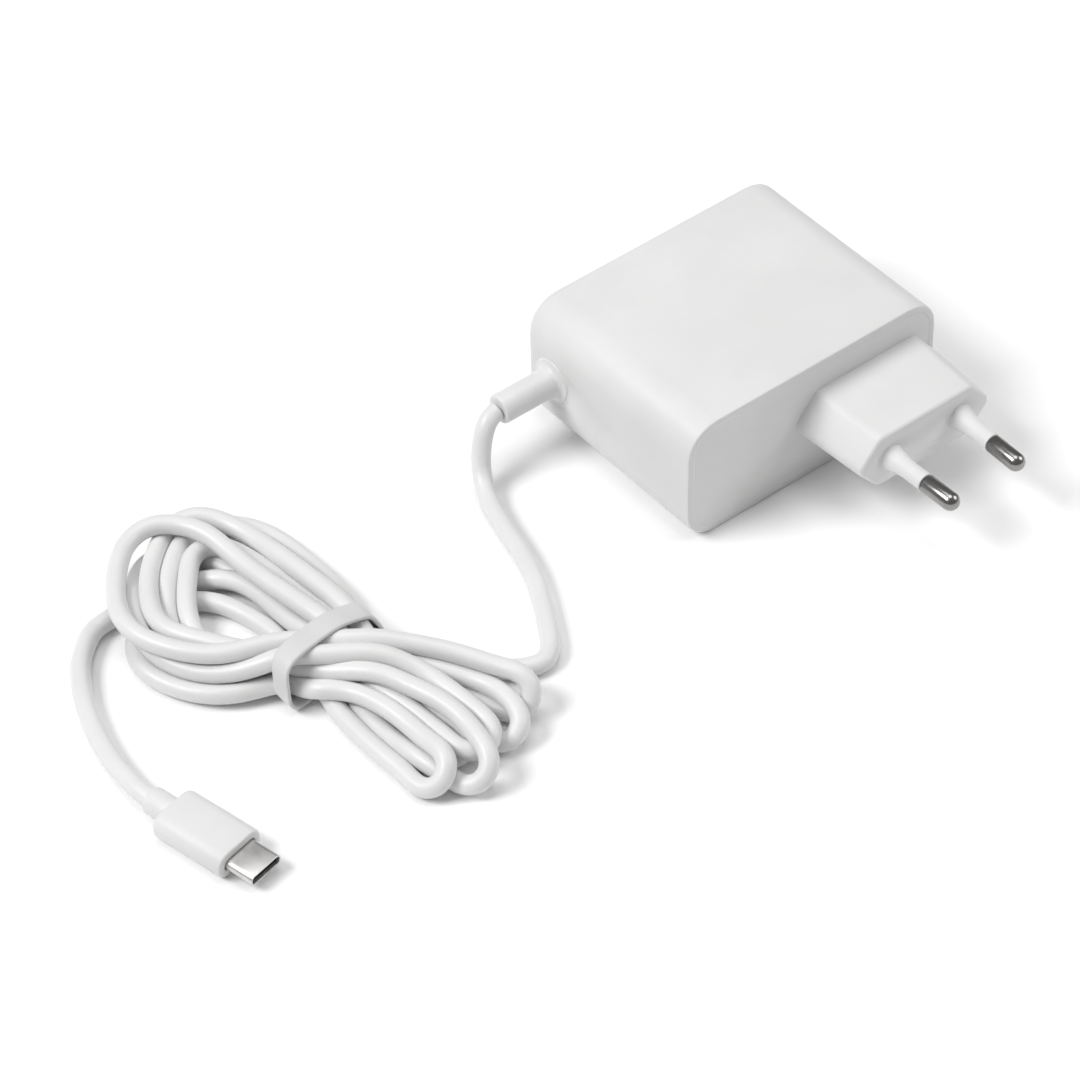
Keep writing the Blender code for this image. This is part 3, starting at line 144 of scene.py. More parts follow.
# One row for each turn of the hank, a figure of eight that crosses itself in the strap.
# run: X and Z of the right run, beside the strap and at its middle; shoulder, top, side and low:
# the far lobe, up, over and down; cross: in the strap; out, edge, tip and back: the near fold;
# home: X and Z of the run back to the strap.
RUN_Y, RUN_MIDDLE_Y, HOME_Y = -0.020, -0.002, -0.040
TURNS = [
    {
        "run": (-0.0506, 0.0044, -0.0491, 0.0026),
        "shoulder": (-0.0516, 0.0146, 0.0022),
        "top": (-0.0605, 0.0214, 0.0022),
        "side": (-0.0818, 0.0014, 0.0042),
        "low": (-0.0810, -0.0120, 0.0038),
        "cross": (-0.0660, -0.0255, 0.0069),
        "out": (-0.0505, -0.0410, 0.0050),
        "edge": (-0.0434, -0.0545, 0.0042),
        "tip": (-0.0476, -0.0662, 0.0034),
        "back": (-0.0528, -0.0570, 0.0022),
        "home": (-0.0565, 0.0022),
    },
    {
        "run": (-0.0546, 0.0084, -0.0550, 0.0066),
        "shoulder": (-0.0566, 0.0160, 0.0055),
        "top": (-0.0636, 0.0236, 0.0050),
        "side": (-0.0848, 0.0030, 0.0062),
        "low": (-0.0796, -0.0110, 0.0072),
        "cross": (-0.0692, -0.0255, 0.0069),
        "out": (-0.0600, -0.0402, 0.0062),
        "edge": (-0.0548, -0.0580, 0.0061),
        "tip": (-0.0593, -0.0719, 0.0042),
        "back": (-0.0641, -0.0585, 0.0023),
        "home": (-0.0652, 0.0024),
    },
    {
        "run": (-0.0576, 0.0060, -0.0576, 0.0050),
        "shoulder": (-0.0598, 0.0070, 0.0045),
        "top": (-0.0650, 0.0148, 0.0045),
        "side": (-0.0786, 0.0004, 0.0044),
        "low": (-0.0782, -0.0120, 0.0023),
        "cross": (-0.0640, -0.0255, 0.0046),
        "out": (-0.0580, -0.0400, 0.0034),
        "edge": (-0.0553, -0.0540, 0.0026),
        "tip": (-0.0586, -0.0632, 0.0023),
        "back": (-0.0614, -0.0560, 0.0022),
        "home": (-0.0616, 0.0022),
    },
    {
        "run": (-0.0612, 0.0102, -0.0628, 0.0090),
        "shoulder": (-0.0648, 0.0165, 0.0084),
        "top": (-0.0742, 0.0240, 0.0084),
        "side": (-0.0908, 0.0040, 0.0086),
        "low": (-0.0848, -0.0124, 0.0092),
        "cross": (-0.0682, -0.0246, 0.01035),
        "out": (-0.0506, -0.0376, 0.0086),
        "edge": (-0.0402, -0.0542, 0.0076),
        "tip": (-0.0392, -0.0616, 0.0050),
        "back": (-0.0444, -0.0560, 0.0022),
        "home": (-0.0514, 0.0022),
    },
    {
        "run": (-0.0595, 0.0036, -0.0610, 0.0022),
        "shoulder": (-0.0646, 0.0140, 0.0022),
        "top": (-0.0730, 0.0212, 0.0022),
        "side": (-0.0890, 0.0005, 0.0040),
        "low": (-0.0849, -0.0148, 0.0056),
        "cross": (-0.0702, -0.0254, 0.0076),
        "out": (-0.0564, -0.0370, 0.0073),
        "edge": (-0.0510, -0.0560, 0.0069),
        "tip": (-0.0546, -0.0662, 0.0056),
        "back": (-0.0586, -0.0580, 0.0046),
        "home": (-0.0600, 0.0034),
    },
    {
        "run": (-0.0634, 0.0062, -0.0632, 0.0042),
        "shoulder": (-0.0656, 0.0064, 0.0032),
        "top": (-0.0765, 0.0121, 0.0022),
        "side": (-0.0916, -0.0010, 0.0022),
        "low": (-0.0866, -0.0168, 0.0028),
        "cross": (-0.0730, -0.0283, 0.0052),
        "out": (-0.0656, -0.0370, 0.0062),
        "edge": (-0.0627, -0.0535, 0.0064),
        "tip": (-0.0660, -0.0676, 0.0044),
        "back": (-0.0686, -0.0570, 0.0022),
        "home": (-0.0690, 0.0022),
    },
]

# The room that the hank's strands have, and the cord's least bend radius
HANK_CEILING = 0.0106
HANK_BACK = cad_high[1] - CORD_DIAMETER / 2 - 0.0001
LEAST_BEND = 0.0042

# The strap: where it holds the hank, and the room that the strands have inside it
STRAP_Y = -0.0258
STRAP_LEFT, STRAP_RIGHT = -0.0719, -0.0533
STRAP_LOW, STRAP_MIDDLE, STRAP_TOP = 0.0034, 0.0069, 0.0103
STRAP_HOLD = 0.0044
STRAP_WIDTH = 0.0050
STRAP_THICKNESS = 0.0009
STRAP_SLACK = 0.00015
STRAP_LEAN = math.radians(7)
STRAP_TURN = math.radians(7)
STRAP_STEPS = 144
STRAP_CENTRE = (EXIT.x + (STRAP_LEFT + STRAP_RIGHT) / 2, EXIT.y + STRAP_Y, STRAP_MIDDLE)
STRAP_PLANE = np.array((-math.tan(STRAP_TURN), 1.0, -math.tan(STRAP_LEAN)))

# The pins' sleeves, which cover their seats in the plug's face
PIN_RADIUS = 0.002
SLEEVE_WALL = 0.0004
SLEEVE_EDGE = 0.0002
SLEEVE_SEAT = 0.0003
SLEEVE_SUNK = 0.0001
FOOT_RADIUS = 0.0034
FOOT_PROUD = 0.00004
FLARE_RADIUS = 0.0029
FLARE_LENGTH = 0.0052
SLEEVE_STEPS = 64
END_BAND = 0.0003

# The weld bead in the seam round the plug's plate, a hair proud of the faces beside it
SEAM_GAP = 0.0003
SEAM_LAP = 0.0003
SEAM_PROUD = 0.00003
SEAM_DEPTH = 0.0012
SEAM_STEPS = 12
PLATE_CORNER = 0.006

# The connector's collar: how deep its end band is, and how far it runs into the overmould
COLLAR_END = 0.0003
COLLAR_REACH = 0.0018

# The lip round the cord boot's flange
SEAL_LAP = 0.00015
SEAL_DEPTH = 0.0005
SEAL_STEPS = 72

# The edges' rounding on each piece that keeps its CAD shape
EDGES = {
    "housing": 0.0001,
    "plug_housing": 0.0001,
    "mains_pin": 0.00012,
    "cord_boot": 0.00015,
    "plug_collar": 0.0001,
    "plug_body": 0.00012,
    "plug_shell": 0.00006,
    "plug_insert": 0.00003,
}

FLOOR_SIZE = 6.0
FLOOR_TONE = 0.95
WORLD_STRENGTH = 0.25
LIGHTS_AIM = (-0.03, 0.0, 0.01)
LIGHTS = [
    {"name": "key", "place": (-1.19, 0.49, 1.4), "size": (0.84, 0.7), "power": 24.0},
    {"name": "fill", "place": (0.9, -0.5, 0.8), "size": (0.7, 0.7), "power": 5.0},
    {"name": "top", "place": (0.05, 0.15, 1.4), "size": (0.8, 0.8), "power": 6.0},
]


# ---------------------------------------------------------------- camera, floor and light

def make_camera():
    """A long lens, looking down at the adapter from in front and to its left."""
    azimuth, elevation = CAMERA_AZIMUTH, CAMERA_ELEVATION
    back = Vector((
        math.sin(azimuth) * math.cos(elevation),
        -math.cos(azimuth) * math.cos(elevation),
        math.sin(elevation),
    ))
    right = Vector((0, 0, 1)).cross(back).normalized()
    up = back.cross(right)
    turn = Matrix((right, up, back)).transposed() @ Matrix.Rotation(CAMERA_ROLL, 3, "Z")
    data = bpy.data.cameras.new("camera")
    data.lens = CAMERA_LENS
    data.sensor_width = SENSOR_WIDTH
    data.clip_start, data.clip_end = 0.01, 20.0
    camera = bpy.data.objects.new("camera", data)
    camera.matrix_world = Matrix.Translation(CAMERA_AIM + back * CAMERA_DISTANCE) @ turn.to_4x4()
    bpy.context.scene.collection.objects.link(camera)
    bpy.context.scene.camera = camera


def make_light(name, place, size, power):
    """A soft rectangular light, turned towards the middle of the adapter."""
    data = bpy.data.lights.new(name, "AREA")
    data.shape = "RECTANGLE"
    data.size, data.size_y = size
    data.energy = power
    light = bpy.data.objects.new(name, data)
    direction = Vector(LIGHTS_AIM) - Vector(place)
    light.matrix_world = (
        Matrix.Translation(place) @ direction.to_track_quat("-Z", "Y").to_matrix().to_4x4()
    )
    bpy.context.scene.collection.objects.link(light)


def make_stage():
    """The plain pale floor, the even surrounding light and the three soft lights."""
    floor = bpy.data.meshes.new("floor")
    half = FLOOR_SIZE / 2
    corners = [(-half, -half, 0), (half, -half, 0), (half, half, 0), (-half, half, 0)]
    floor.from_pydata(corners, [], [(0, 1, 2, 3)])
    obj = bpy.data.objects.new("floor", floor)
    bpy.context.scene.collection.objects.link(obj)
    paper = bpy.data.materials.new("floor_paper")
    paper.use_nodes = True
    shader = paper.node_tree.nodes["Principled BSDF"]
    shader.inputs["Base Color"].default_value = (*[FLOOR_TONE] * 3, 1)
    shader.inputs["Roughness"].default_value = 0.9
    shader.inputs["Specular IOR Level"].default_value = 0.1
    floor.materials.append(paper)
    world = bpy.data.worlds.new("studio")
    bpy.context.scene.world = world
    world.use_nodes = True
    world.node_tree.nodes["Background"].inputs["Color"].default_value = (1, 1, 1, 1)
    world.node_tree.nodes["Background"].inputs["Strength"].default_value = WORLD_STRENGTH
    for light in LIGHTS:
        make_light(**light)
    bpy.context.scene.view_settings.view_transform = "Standard"


# ---------------------------------------------------------------- materials

def noise(tree, coordinates, scale, detail=3.0, rough=0.5, stretch=None):
    """A noise of that many waves a metre, drawn out along an axis where stretch is small."""
    node = tree.nodes.new("ShaderNodeTexNoise")
    node.inputs["Scale"].default_value = scale
    node.inputs["Detail"].default_value = detail
    node.inputs["Roughness"].default_value = rough
    source = coordinates
    if stretch:
        mapping = tree.nodes.new("ShaderNodeMapping")
        mapping.inputs["Scale"].default_value = stretch
        tree.links.new(coordinates, mapping.inputs["Vector"])
        source = mapping.outputs["Vector"]
    tree.links.new(source, node.inputs["Vector"])
    return node.outputs["Fac"]


def ranged(tree, value, low, high, start=0.3, end=0.7):
    """The value spread over the range from low to high."""
    node = tree.nodes.new("ShaderNodeMapRange")
    node.inputs["From Min"].default_value = start
    node.inputs["From Max"].default_value = end
    node.inputs["To Min"].default_value = low
    node.inputs["To Max"].default_value = high
    tree.links.new(value, node.inputs["Value"])
    return node.outputs["Result"]


def mottled(tree, value, first, second, start=0.35, end=0.65):
    """A soft change between two colours, led by the value."""
    ramp = tree.nodes.new("ShaderNodeValToRGB")
    ramp.color_ramp.elements[0].position = start
    ramp.color_ramp.elements[1].position = end
    ramp.color_ramp.elements[0].color = (*first, 1)
    ramp.color_ramp.elements[1].color = (*second, 1)
    tree.links.new(value, ramp.inputs["Fac"])
    return ramp.outputs["Color"]


def finish_of(
    name,
    colour,
    other=None,
    roughness=(0.4, 0.5),
    metallic=0.0,
    grain=2500.0,
    depth=0.00001,
    patch=60.0,
    stretch=None,
    specular=0.5,
    subsurface=0.0,
    coat=0.0,
    sheen=0.0,
):
    """A material with colour patches, uneven roughness and a grain of that many waves a metre."""
    made = bpy.data.materials.new(name)
    made.use_nodes = True
    tree = made.node_tree
    shader = tree.nodes["Principled BSDF"]
    place = tree.nodes.new("ShaderNodeTexCoord").outputs["Object"]
    second = other or tuple(c * 0.955 for c in colour)
    broad = noise(tree, place, patch, 4.0, 0.6)
    tree.links.new(mottled(tree, broad, second, colour), shader.inputs["Base Color"])
    fine = noise(tree, place, grain, 3.0, 0.6, stretch)
    wear = noise(tree, place, patch * 5, 5.0, 0.65, stretch)
    tree.links.new(ranged(tree, wear, *roughness), shader.inputs["Roughness"])
    bump = tree.nodes.new("ShaderNodeBump")
    bump.inputs["Strength"].default_value = 1.0
    bump.inputs["Distance"].default_value = depth
    tree.links.new(fine, bump.inputs["Height"])
    tree.links.new(bump.outputs["Normal"], shader.inputs["Normal"])
    shader.inputs["Metallic"].default_value = metallic
    shader.inputs["Specular IOR Level"].default_value = specular
    shader.inputs["Subsurface Weight"].default_value = subsurface
    shader.inputs["Subsurface Radius"].default_value = (1.0, 0.9, 0.8)
    shader.inputs["Subsurface Scale"].default_value = 0.0008
    shader.inputs["Coat Weight"].default_value = coat
    shader.inputs["Coat Roughness"].default_value = 0.15
    shader.inputs["Sheen Weight"].default_value = sheen
    return made


FINISHES = {
    "white_plastic": dict(
        colour=(0.715, 0.715, 0.713), roughness=(0.46, 0.57), grain=1900, depth=0.000018,
        patch=45, subsurface=0.08,
    ),
    "white_elastomer": dict(
        colour=(0.735, 0.735, 0.733), roughness=(0.33, 0.44), grain=1500, depth=0.00002,
        patch=70, subsurface=0.12,
    ),
    "strap": dict(
        colour=(0.65, 0.65, 0.648), roughness=(0.5, 0.62), grain=2600, depth=0.00003, patch=120,
        sheen=0.15,
    ),
    "nickel": dict(
        colour=(0.34, 0.335, 0.325), other=(0.27, 0.265, 0.255), roughness=(0.16, 0.28),
        metallic=1.0, grain=3000, depth=0.000006, patch=150,
    ),
    "steel": dict(
        colour=(0.74, 0.73, 0.72), other=(0.62, 0.61, 0.60), roughness=(0.30, 0.42),
        metallic=1.0, grain=2400, depth=0.000006, patch=260, stretch=(1.0, 0.12, 1.0),
    ),
    "gold": dict(
        colour=(0.92, 0.70, 0.32), other=(0.80, 0.58, 0.24), roughness=(0.16, 0.28),
        metallic=1.0, grain=3000, depth=0.000004, patch=300,
    ),
    "brass": dict(
        colour=(0.72, 0.55, 0.25), other=(0.58, 0.42, 0.18), roughness=(0.22, 0.36),
        metallic=1.0, grain=2500, depth=0.000006, patch=200,
    ),
    "copper": dict(
        colour=(0.72, 0.33, 0.16), other=(0.55, 0.22, 0.10), roughness=(0.22, 0.34),
        metallic=1.0, grain=1400, depth=0.00006, patch=200, stretch=(1.0, 0.1, 1.0),
    ),
    "aluminium": dict(
        colour=(0.80, 0.80, 0.80), other=(0.68, 0.68, 0.69), roughness=(0.28, 0.42),
        metallic=1.0, grain=2200, depth=0.000008, patch=160, stretch=(0.1, 1.0, 1.0),
    ),
    "ferrite": dict(
        colour=(0.10, 0.10, 0.11), other=(0.06, 0.06, 0.065), roughness=(0.5, 0.75), grain=1800,
        depth=0.00004, patch=250,
    ),
    "circuit_board": dict(
        colour=(0.05, 0.22, 0.10), other=(0.02, 0.13, 0.06), roughness=(0.28, 0.42), grain=1200,
        depth=0.00003, patch=320, coat=0.4,
    ),
    "black_resin": dict(
        colour=(0.030, 0.030, 0.032), other=(0.018, 0.018, 0.02), roughness=(0.45, 0.65),
        grain=2600, depth=0.00002, patch=200,
    ),
    "insulating_film": dict(
        colour=(0.85, 0.83, 0.75), other=(0.78, 0.75, 0.66), roughness=(0.18, 0.3), grain=700,
        depth=0.00003, patch=80,
    ),
    "yellow_case": dict(
        colour=(0.80, 0.62, 0.10), other=(0.70, 0.52, 0.07), roughness=(0.3, 0.42), grain=1800,
        depth=0.00002, patch=120,
    ),
    "yellow_tape": dict(
        colour=(0.85, 0.70, 0.15), other=(0.76, 0.60, 0.10), roughness=(0.2, 0.34), grain=900,
        depth=0.00004, patch=140, stretch=(0.2, 0.2, 1.0),
    ),
    "blue_sleeve": dict(
        colour=(0.05, 0.08, 0.22), other=(0.03, 0.05, 0.15), roughness=(0.25, 0.38), grain=1100,
        depth=0.00002, patch=90,
    ),
    "ceramic_blue": dict(
        colour=(0.10, 0.25, 0.60), other=(0.07, 0.18, 0.46), roughness=(0.25, 0.4), grain=900,
        depth=0.00004, patch=200,
    ),
    "thermal_pad": dict(
        colour=(0.45, 0.48, 0.50), other=(0.38, 0.41, 0.43), roughness=(0.7, 0.85), grain=1500,
        depth=0.00005, patch=150,
    ),
    "output_wire_positive": dict(
        colour=(0.60, 0.05, 0.04), other=(0.48, 0.03, 0.03), roughness=(0.3, 0.42), grain=1500,
        depth=0.00001, patch=120,
    ),
    "output_wire_signal": dict(
        colour=(0.85, 0.85, 0.82), other=(0.76, 0.76, 0.73), roughness=(0.3, 0.42), grain=1500,
        depth=0.00001, patch=120,
    ),
    "output_wire_negative": dict(
        colour=(0.03, 0.03, 0.03), other=(0.02, 0.02, 0.02), roughness=(0.3, 0.42), grain=1500,
        depth=0.00001, patch=120,
    ),
}
MATERIALS = {name: finish_of(name, **finish) for name, finish in FINISHES.items()}
SLOTS = {row["node"]: row["material_slot"] for row in frame["record"]["subparts"]}


# ---------------------------------------------------------------- pieces

def add_piece(name, data, slot, *nodes):
    """A new piece that rides with the object and stands for those CAD nodes."""
    piece = bpy.data.objects.new(name, data)
    bpy.context.scene.collection.objects.link(piece)
    data.materials.clear()
    data.materials.append(MATERIALS[slot])
    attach(piece, "root")
    if nodes:
        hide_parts(*nodes)
    return piece


def dress(node, name, edge, sharp=28.0):
    """The node's own shape with its sharp edges rounded by that width and its facets smoothed."""
    mesh = NODES[node].data.copy()
    mesh.name = name
    form = bmesh.new()
    form.from_mesh(mesh)
    bmesh.ops.remove_doubles(form, verts=form.verts, dist=0.000004)
    bmesh.ops.dissolve_limit(
        form, angle_limit=math.radians(0.6), verts=form.verts, edges=form.edges
    )
    turned = [
        e for e in form.edges if len(e.link_faces) == 2
        and e.calc_face_angle(0.0) > math.radians(sharp)
    ]
    if edge and turned:
        bmesh.ops.bevel(
            form, geom=turned, offset=edge, segments=3, profile=0.5, affect="EDGES",
            clamp_overlap=True,
        )
    bmesh.ops.dissolve_degenerate(form, dist=0.000002, edges=form.edges)
    bmesh.ops.recalc_face_normals(form, faces=form.faces)
    form.to_mesh(mesh)
    form.free()
    if "custom_normal" in mesh.attributes:
        mesh.attributes.remove(mesh.attributes["custom_normal"])
    mesh.shade_smooth()
    mesh.set_sharp_from_angle(angle=math.radians(40))
    return add_piece(name, mesh, SLOTS[node], node)


def ring_piece(name, rings, slot, *nodes, sharp=50.0):
    """A closed band through rings of points, each joined to the next and the last to the first."""
    form = bmesh.new()
    rows = [[form.verts.new(place) for place in ring] for ring in rings]
    count = len(rows[0])
    for first, second in zip(rows, rows[1:] + rows[:1]):
        for k in range(count):
            after = (k + 1) % count
            form.faces.new((first[k], first[after], second[after], second[k]))
    bmesh.ops.recalc_face_normals(form, faces=form.faces)
    mesh = bpy.data.meshes.new(name)
    form.to_mesh(mesh)
    form.free()
    mesh.shade_smooth()
    if sharp:
        mesh.set_sharp_from_angle(angle=math.radians(sharp))
    return add_piece(name, mesh, slot, *nodes)


def make_collar():
    """The connector's collar, whose front end runs on into the overmould's rounded back."""
    collar = dress("connector_collar", "plug_collar", EDGES["plug_collar"])
    low, high = (np.array(corner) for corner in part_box("connector_collar"))
    near, far = (np.array(corner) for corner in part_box("connector_overmould"))
    way = (near + far) / 2 - (low + high) / 2
    way[2] = 0.0
    way /= np.linalg.norm(way)
    along = np.array([v.co for v in collar.data.vertices]) @ way
    for vertex, place in zip(collar.data.vertices, along):
        if place > along.max() - COLLAR_END:
            vertex.co += Vector(way * COLLAR_REACH)
    return collar


def axis_of(node):
    """The middles of a pin or sleeve's two ends, the one nearer the housing first."""
    places = np.array([v.co for v in NODES[node].data.vertices], float)
    ends = []
    for end in (places[:, 1].max(), places[:, 1].min()):
        ends.append(Vector(places[np.abs(places[:, 1] - end) < END_BAND].mean(axis=0)))
    return ends


def make_sleeve(hand):
    """A pin's insulating sleeve, which flares softly out into the plug's face."""
    root, end = axis_of(f"pin_sleeve_{hand}")
    turn = (end - root).normalized().to_track_quat("Z", "X").to_matrix()
    length = (end - root).length
    face = SLEEVE_SEAT
    profile = [(PIN_RADIUS - SLEEVE_WALL, 0.0), (FOOT_RADIUS, face - SLEEVE_SUNK)]
    profile += [(FOOT_RADIUS, face), (FOOT_RADIUS - FOOT_PROUD, face + FOOT_PROUD)]
    for i in range(13):
        share = i / 12
        spread = (FLARE_RADIUS - PIN_RADIUS) * (1 - share) ** 1.5
        profile.append((PIN_RADIUS + spread, face + FOOT_PROUD + FLARE_LENGTH * share))
    for i in range(5):
        bend = math.radians(22.5 * i)
        radius = PIN_RADIUS - SLEEVE_EDGE * (1 - math.cos(bend))
        profile.append((radius, length - SLEEVE_EDGE * (1 - math.sin(bend))))
    profile.append((PIN_RADIUS - SLEEVE_WALL, length))
    rings = []
    for radius, height in profile:
        turns = [2 * math.pi * k / SLEEVE_STEPS for k in range(SLEEVE_STEPS)]
        ring = [Vector((radius * math.cos(t), radius * math.sin(t), height)) for t in turns]
        rings.append([root + turn @ place for place in ring])
    name, node = f"insulating_sleeve_{hand}", f"pin_sleeve_{hand}"
    return ring_piece(name, rings, "white_plastic", node, sharp=40.0)


def make_flange_seal():
    """The thin lip that closes the ring-shaped gap round the cord boot's flange."""
    low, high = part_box("strain_relief")
    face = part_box("housing_shell")[0].x
    middle_y, middle_z = (low.y + high.y) / 2, (low.z + high.z) / 2
    flange = (high.y - low.y) / 2
    rings = []
    for radius, depth in (
        (flange - SEAL_LAP / 2, SEAM_PROUD),
        (flange + SEAL_LAP / 2, -SEAM_PROUD),
        (flange + SEAM_GAP + SEAL_LAP, -SEAM_PROUD),
        (flange + SEAM_GAP + SEAL_LAP * 2, SEAM_PROUD),
        (flange + SEAM_GAP + SEAL_LAP * 2, SEAL_DEPTH),
        (flange - SEAL_LAP / 2, SEAL_DEPTH),
    ):
        turns = [2 * math.pi * k / SEAL_STEPS for k in range(SEAL_STEPS)]
        rings.append([
            (face + depth, middle_y + radius * math.cos(t), middle_z + radius * math.sin(t))
            for t in turns
        ])
    return ring_piece("flange_seal", rings, "white_plastic")


def rounded_ring(width, height, radius):
    """A rectangle with round corners, as (x, z) points."""
    points = []
    for i, (sx, sz) in enumerate(((1, 1), (-1, 1), (-1, -1), (1, -1))):
        for k in range(SEAM_STEPS + 1):
            turn = math.radians(90 * i + 90 * k / SEAM_STEPS)
            x = sx * (width / 2 - radius) + radius * math.cos(turn)
            points.append((x, sz * (height / 2 - radius) + radius * math.sin(turn)))
    return points


def make_weld_bead():
    """The weld that closes the seam between the housing's rim and the plug's plate."""
    low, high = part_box("plug_cover")
    shell_low, shell_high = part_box("housing_shell")
    middle_x, middle_z = (shell_low.x + shell_high.x) / 2, (high.z + low.z) / 2
    width, height = 2 * (middle_x - low.x), high.z - low.z
    front = shell_low.y
    rings = []
    for spread, depth in (
        (-SEAM_LAP, SEAM_PROUD),
        (-SEAM_LAP / 2, -SEAM_PROUD),
        (SEAM_GAP + SEAM_LAP / 2, -SEAM_PROUD),
        (SEAM_GAP + SEAM_LAP, SEAM_PROUD),
        (SEAM_GAP + SEAM_LAP, SEAM_DEPTH),
        (-SEAM_LAP, SEAM_DEPTH),
    ):
        outline = rounded_ring(
            width + 2 * spread, height + 2 * spread, PLATE_CORNER + spread
        )
        rings.append([(middle_x + x, front + depth, middle_z + z) for x, z in outline])
    return ring_piece("weld_bead", rings, "white_plastic")


def cord_places(route, top):
    """A route's points in space: top is the height that a share of 1 stands for."""
    rise = top - CORD_BASE
    return [(EXIT.x + x, EXIT.y + y, CORD_BASE + rise * up) for x, y, up in route]


def hank_stations():
    """The stations of every turn, in order, from the way in to the way out."""
    stations = list(HANK_ENTRY)
    for turn in TURNS:
        beside_x, beside_z, middle_x, middle_z = turn["run"]
        stations.append((beside_x, RUN_Y, beside_z))
        stations.append((middle_x, RUN_MIDDLE_Y, middle_z))
        for name in ("shoulder", "top", "side", "low", "cross", "out", "edge", "tip", "back"):
            stations.append(turn[name])
        stations.append((turn["home"][0], HOME_Y, turn["home"][1]))
    stations += HANK_LEAVING
    return [(EXIT.x + x, EXIT.y + y, z) for x, y, z in stations]


def even_steps(line, step):
    """Points at even steps along a broken line."""
    far = np.r_[0, np.cumsum(np.linalg.norm(np.diff(line, axis=0), axis=1))]
    along = np.linspace(0, far[-1], max(2, int(round(far[-1] / step))) + 1)
    return np.stack([np.interp(along, far, line[:, axis]) for axis in range(3)], axis=1)


def smooth_curve(stations, step):
    """A centripetal Catmull-Rom curve through the stations, read at even steps."""
    samples = 24
    points = np.array(stations, float)
    first, last = 2 * points[0] - points[1], 2 * points[-1] - points[-2]
    points = np.vstack([first, points, last])
    pieces = []
    for a, b, c, d in zip(points, points[1:], points[2:], points[3:]):
        t1 = np.linalg.norm(b - a) ** 0.5
        t2 = t1 + np.linalg.norm(c - b) ** 0.5
        t3 = t2 + np.linalg.norm(d - c) ** 0.5
        t = np.linspace(t1, t2, samples, endpoint=False)[:, None]
        ab = (t1 - t) / t1 * a + t / t1 * b
        bc = (t2 - t) / (t2 - t1) * b + (t - t1) / (t2 - t1) * c
        cd = (t3 - t) / (t3 - t2) * c + (t - t2) / (t3 - t2) * d
        abc = (t2 - t) / t2 * ab + t / t2 * bc
        bcd = (t3 - t) / (t3 - t1) * bc + (t - t1) / (t3 - t1) * cd
        pieces.append((t2 - t) / (t2 - t1) * abc + (t - t1) / (t2 - t1) * bcd)
    pieces.append(points[-2][None])
    return even_steps(np.vstack(pieces), step)


def eased(points, share):
    """The line with its small kinks taken out, its ends in place."""
    calm = points.copy()
    calm[2:-2] = (
        -points[:-4] + 4 * points[1:-3] + 10 * points[2:-2] + 4 * points[3:-1] - points[4:]
    ) / 16
    calm[2:-2] = (1 - share) * calm[2:-2] + share / 2 * (points[1:-3] + points[3:-1])
    return calm


def keep_bends(points):
    """Even steps along the cord, and no fold tighter than its least radius."""
    pull_share, push_share = 0.25, 0.22
    step = points[1:] - points[:-1]
    length = np.linalg.norm(step, axis=1)[:, None]
    pull = step * (1 - ROUTE_STEP / np.maximum(length, 1e-9)) * pull_share
    points[:-1] += pull
    points[1:] -= pull
    for count in (2, 3):
        arc = 2 * count * ROUTE_STEP
        least = 2 * LEAST_BEND * math.sin(min(arc / (2 * LEAST_BEND), math.pi / 2))
        span = points[2 * count:] - points[:-2 * count]
        length = np.linalg.norm(span, axis=1)[:, None]
        push = span * np.maximum(least / np.maximum(length, 1e-9) - 1, 0) * push_share
        points[2 * count:] += push
        points[:-2 * count] -= push


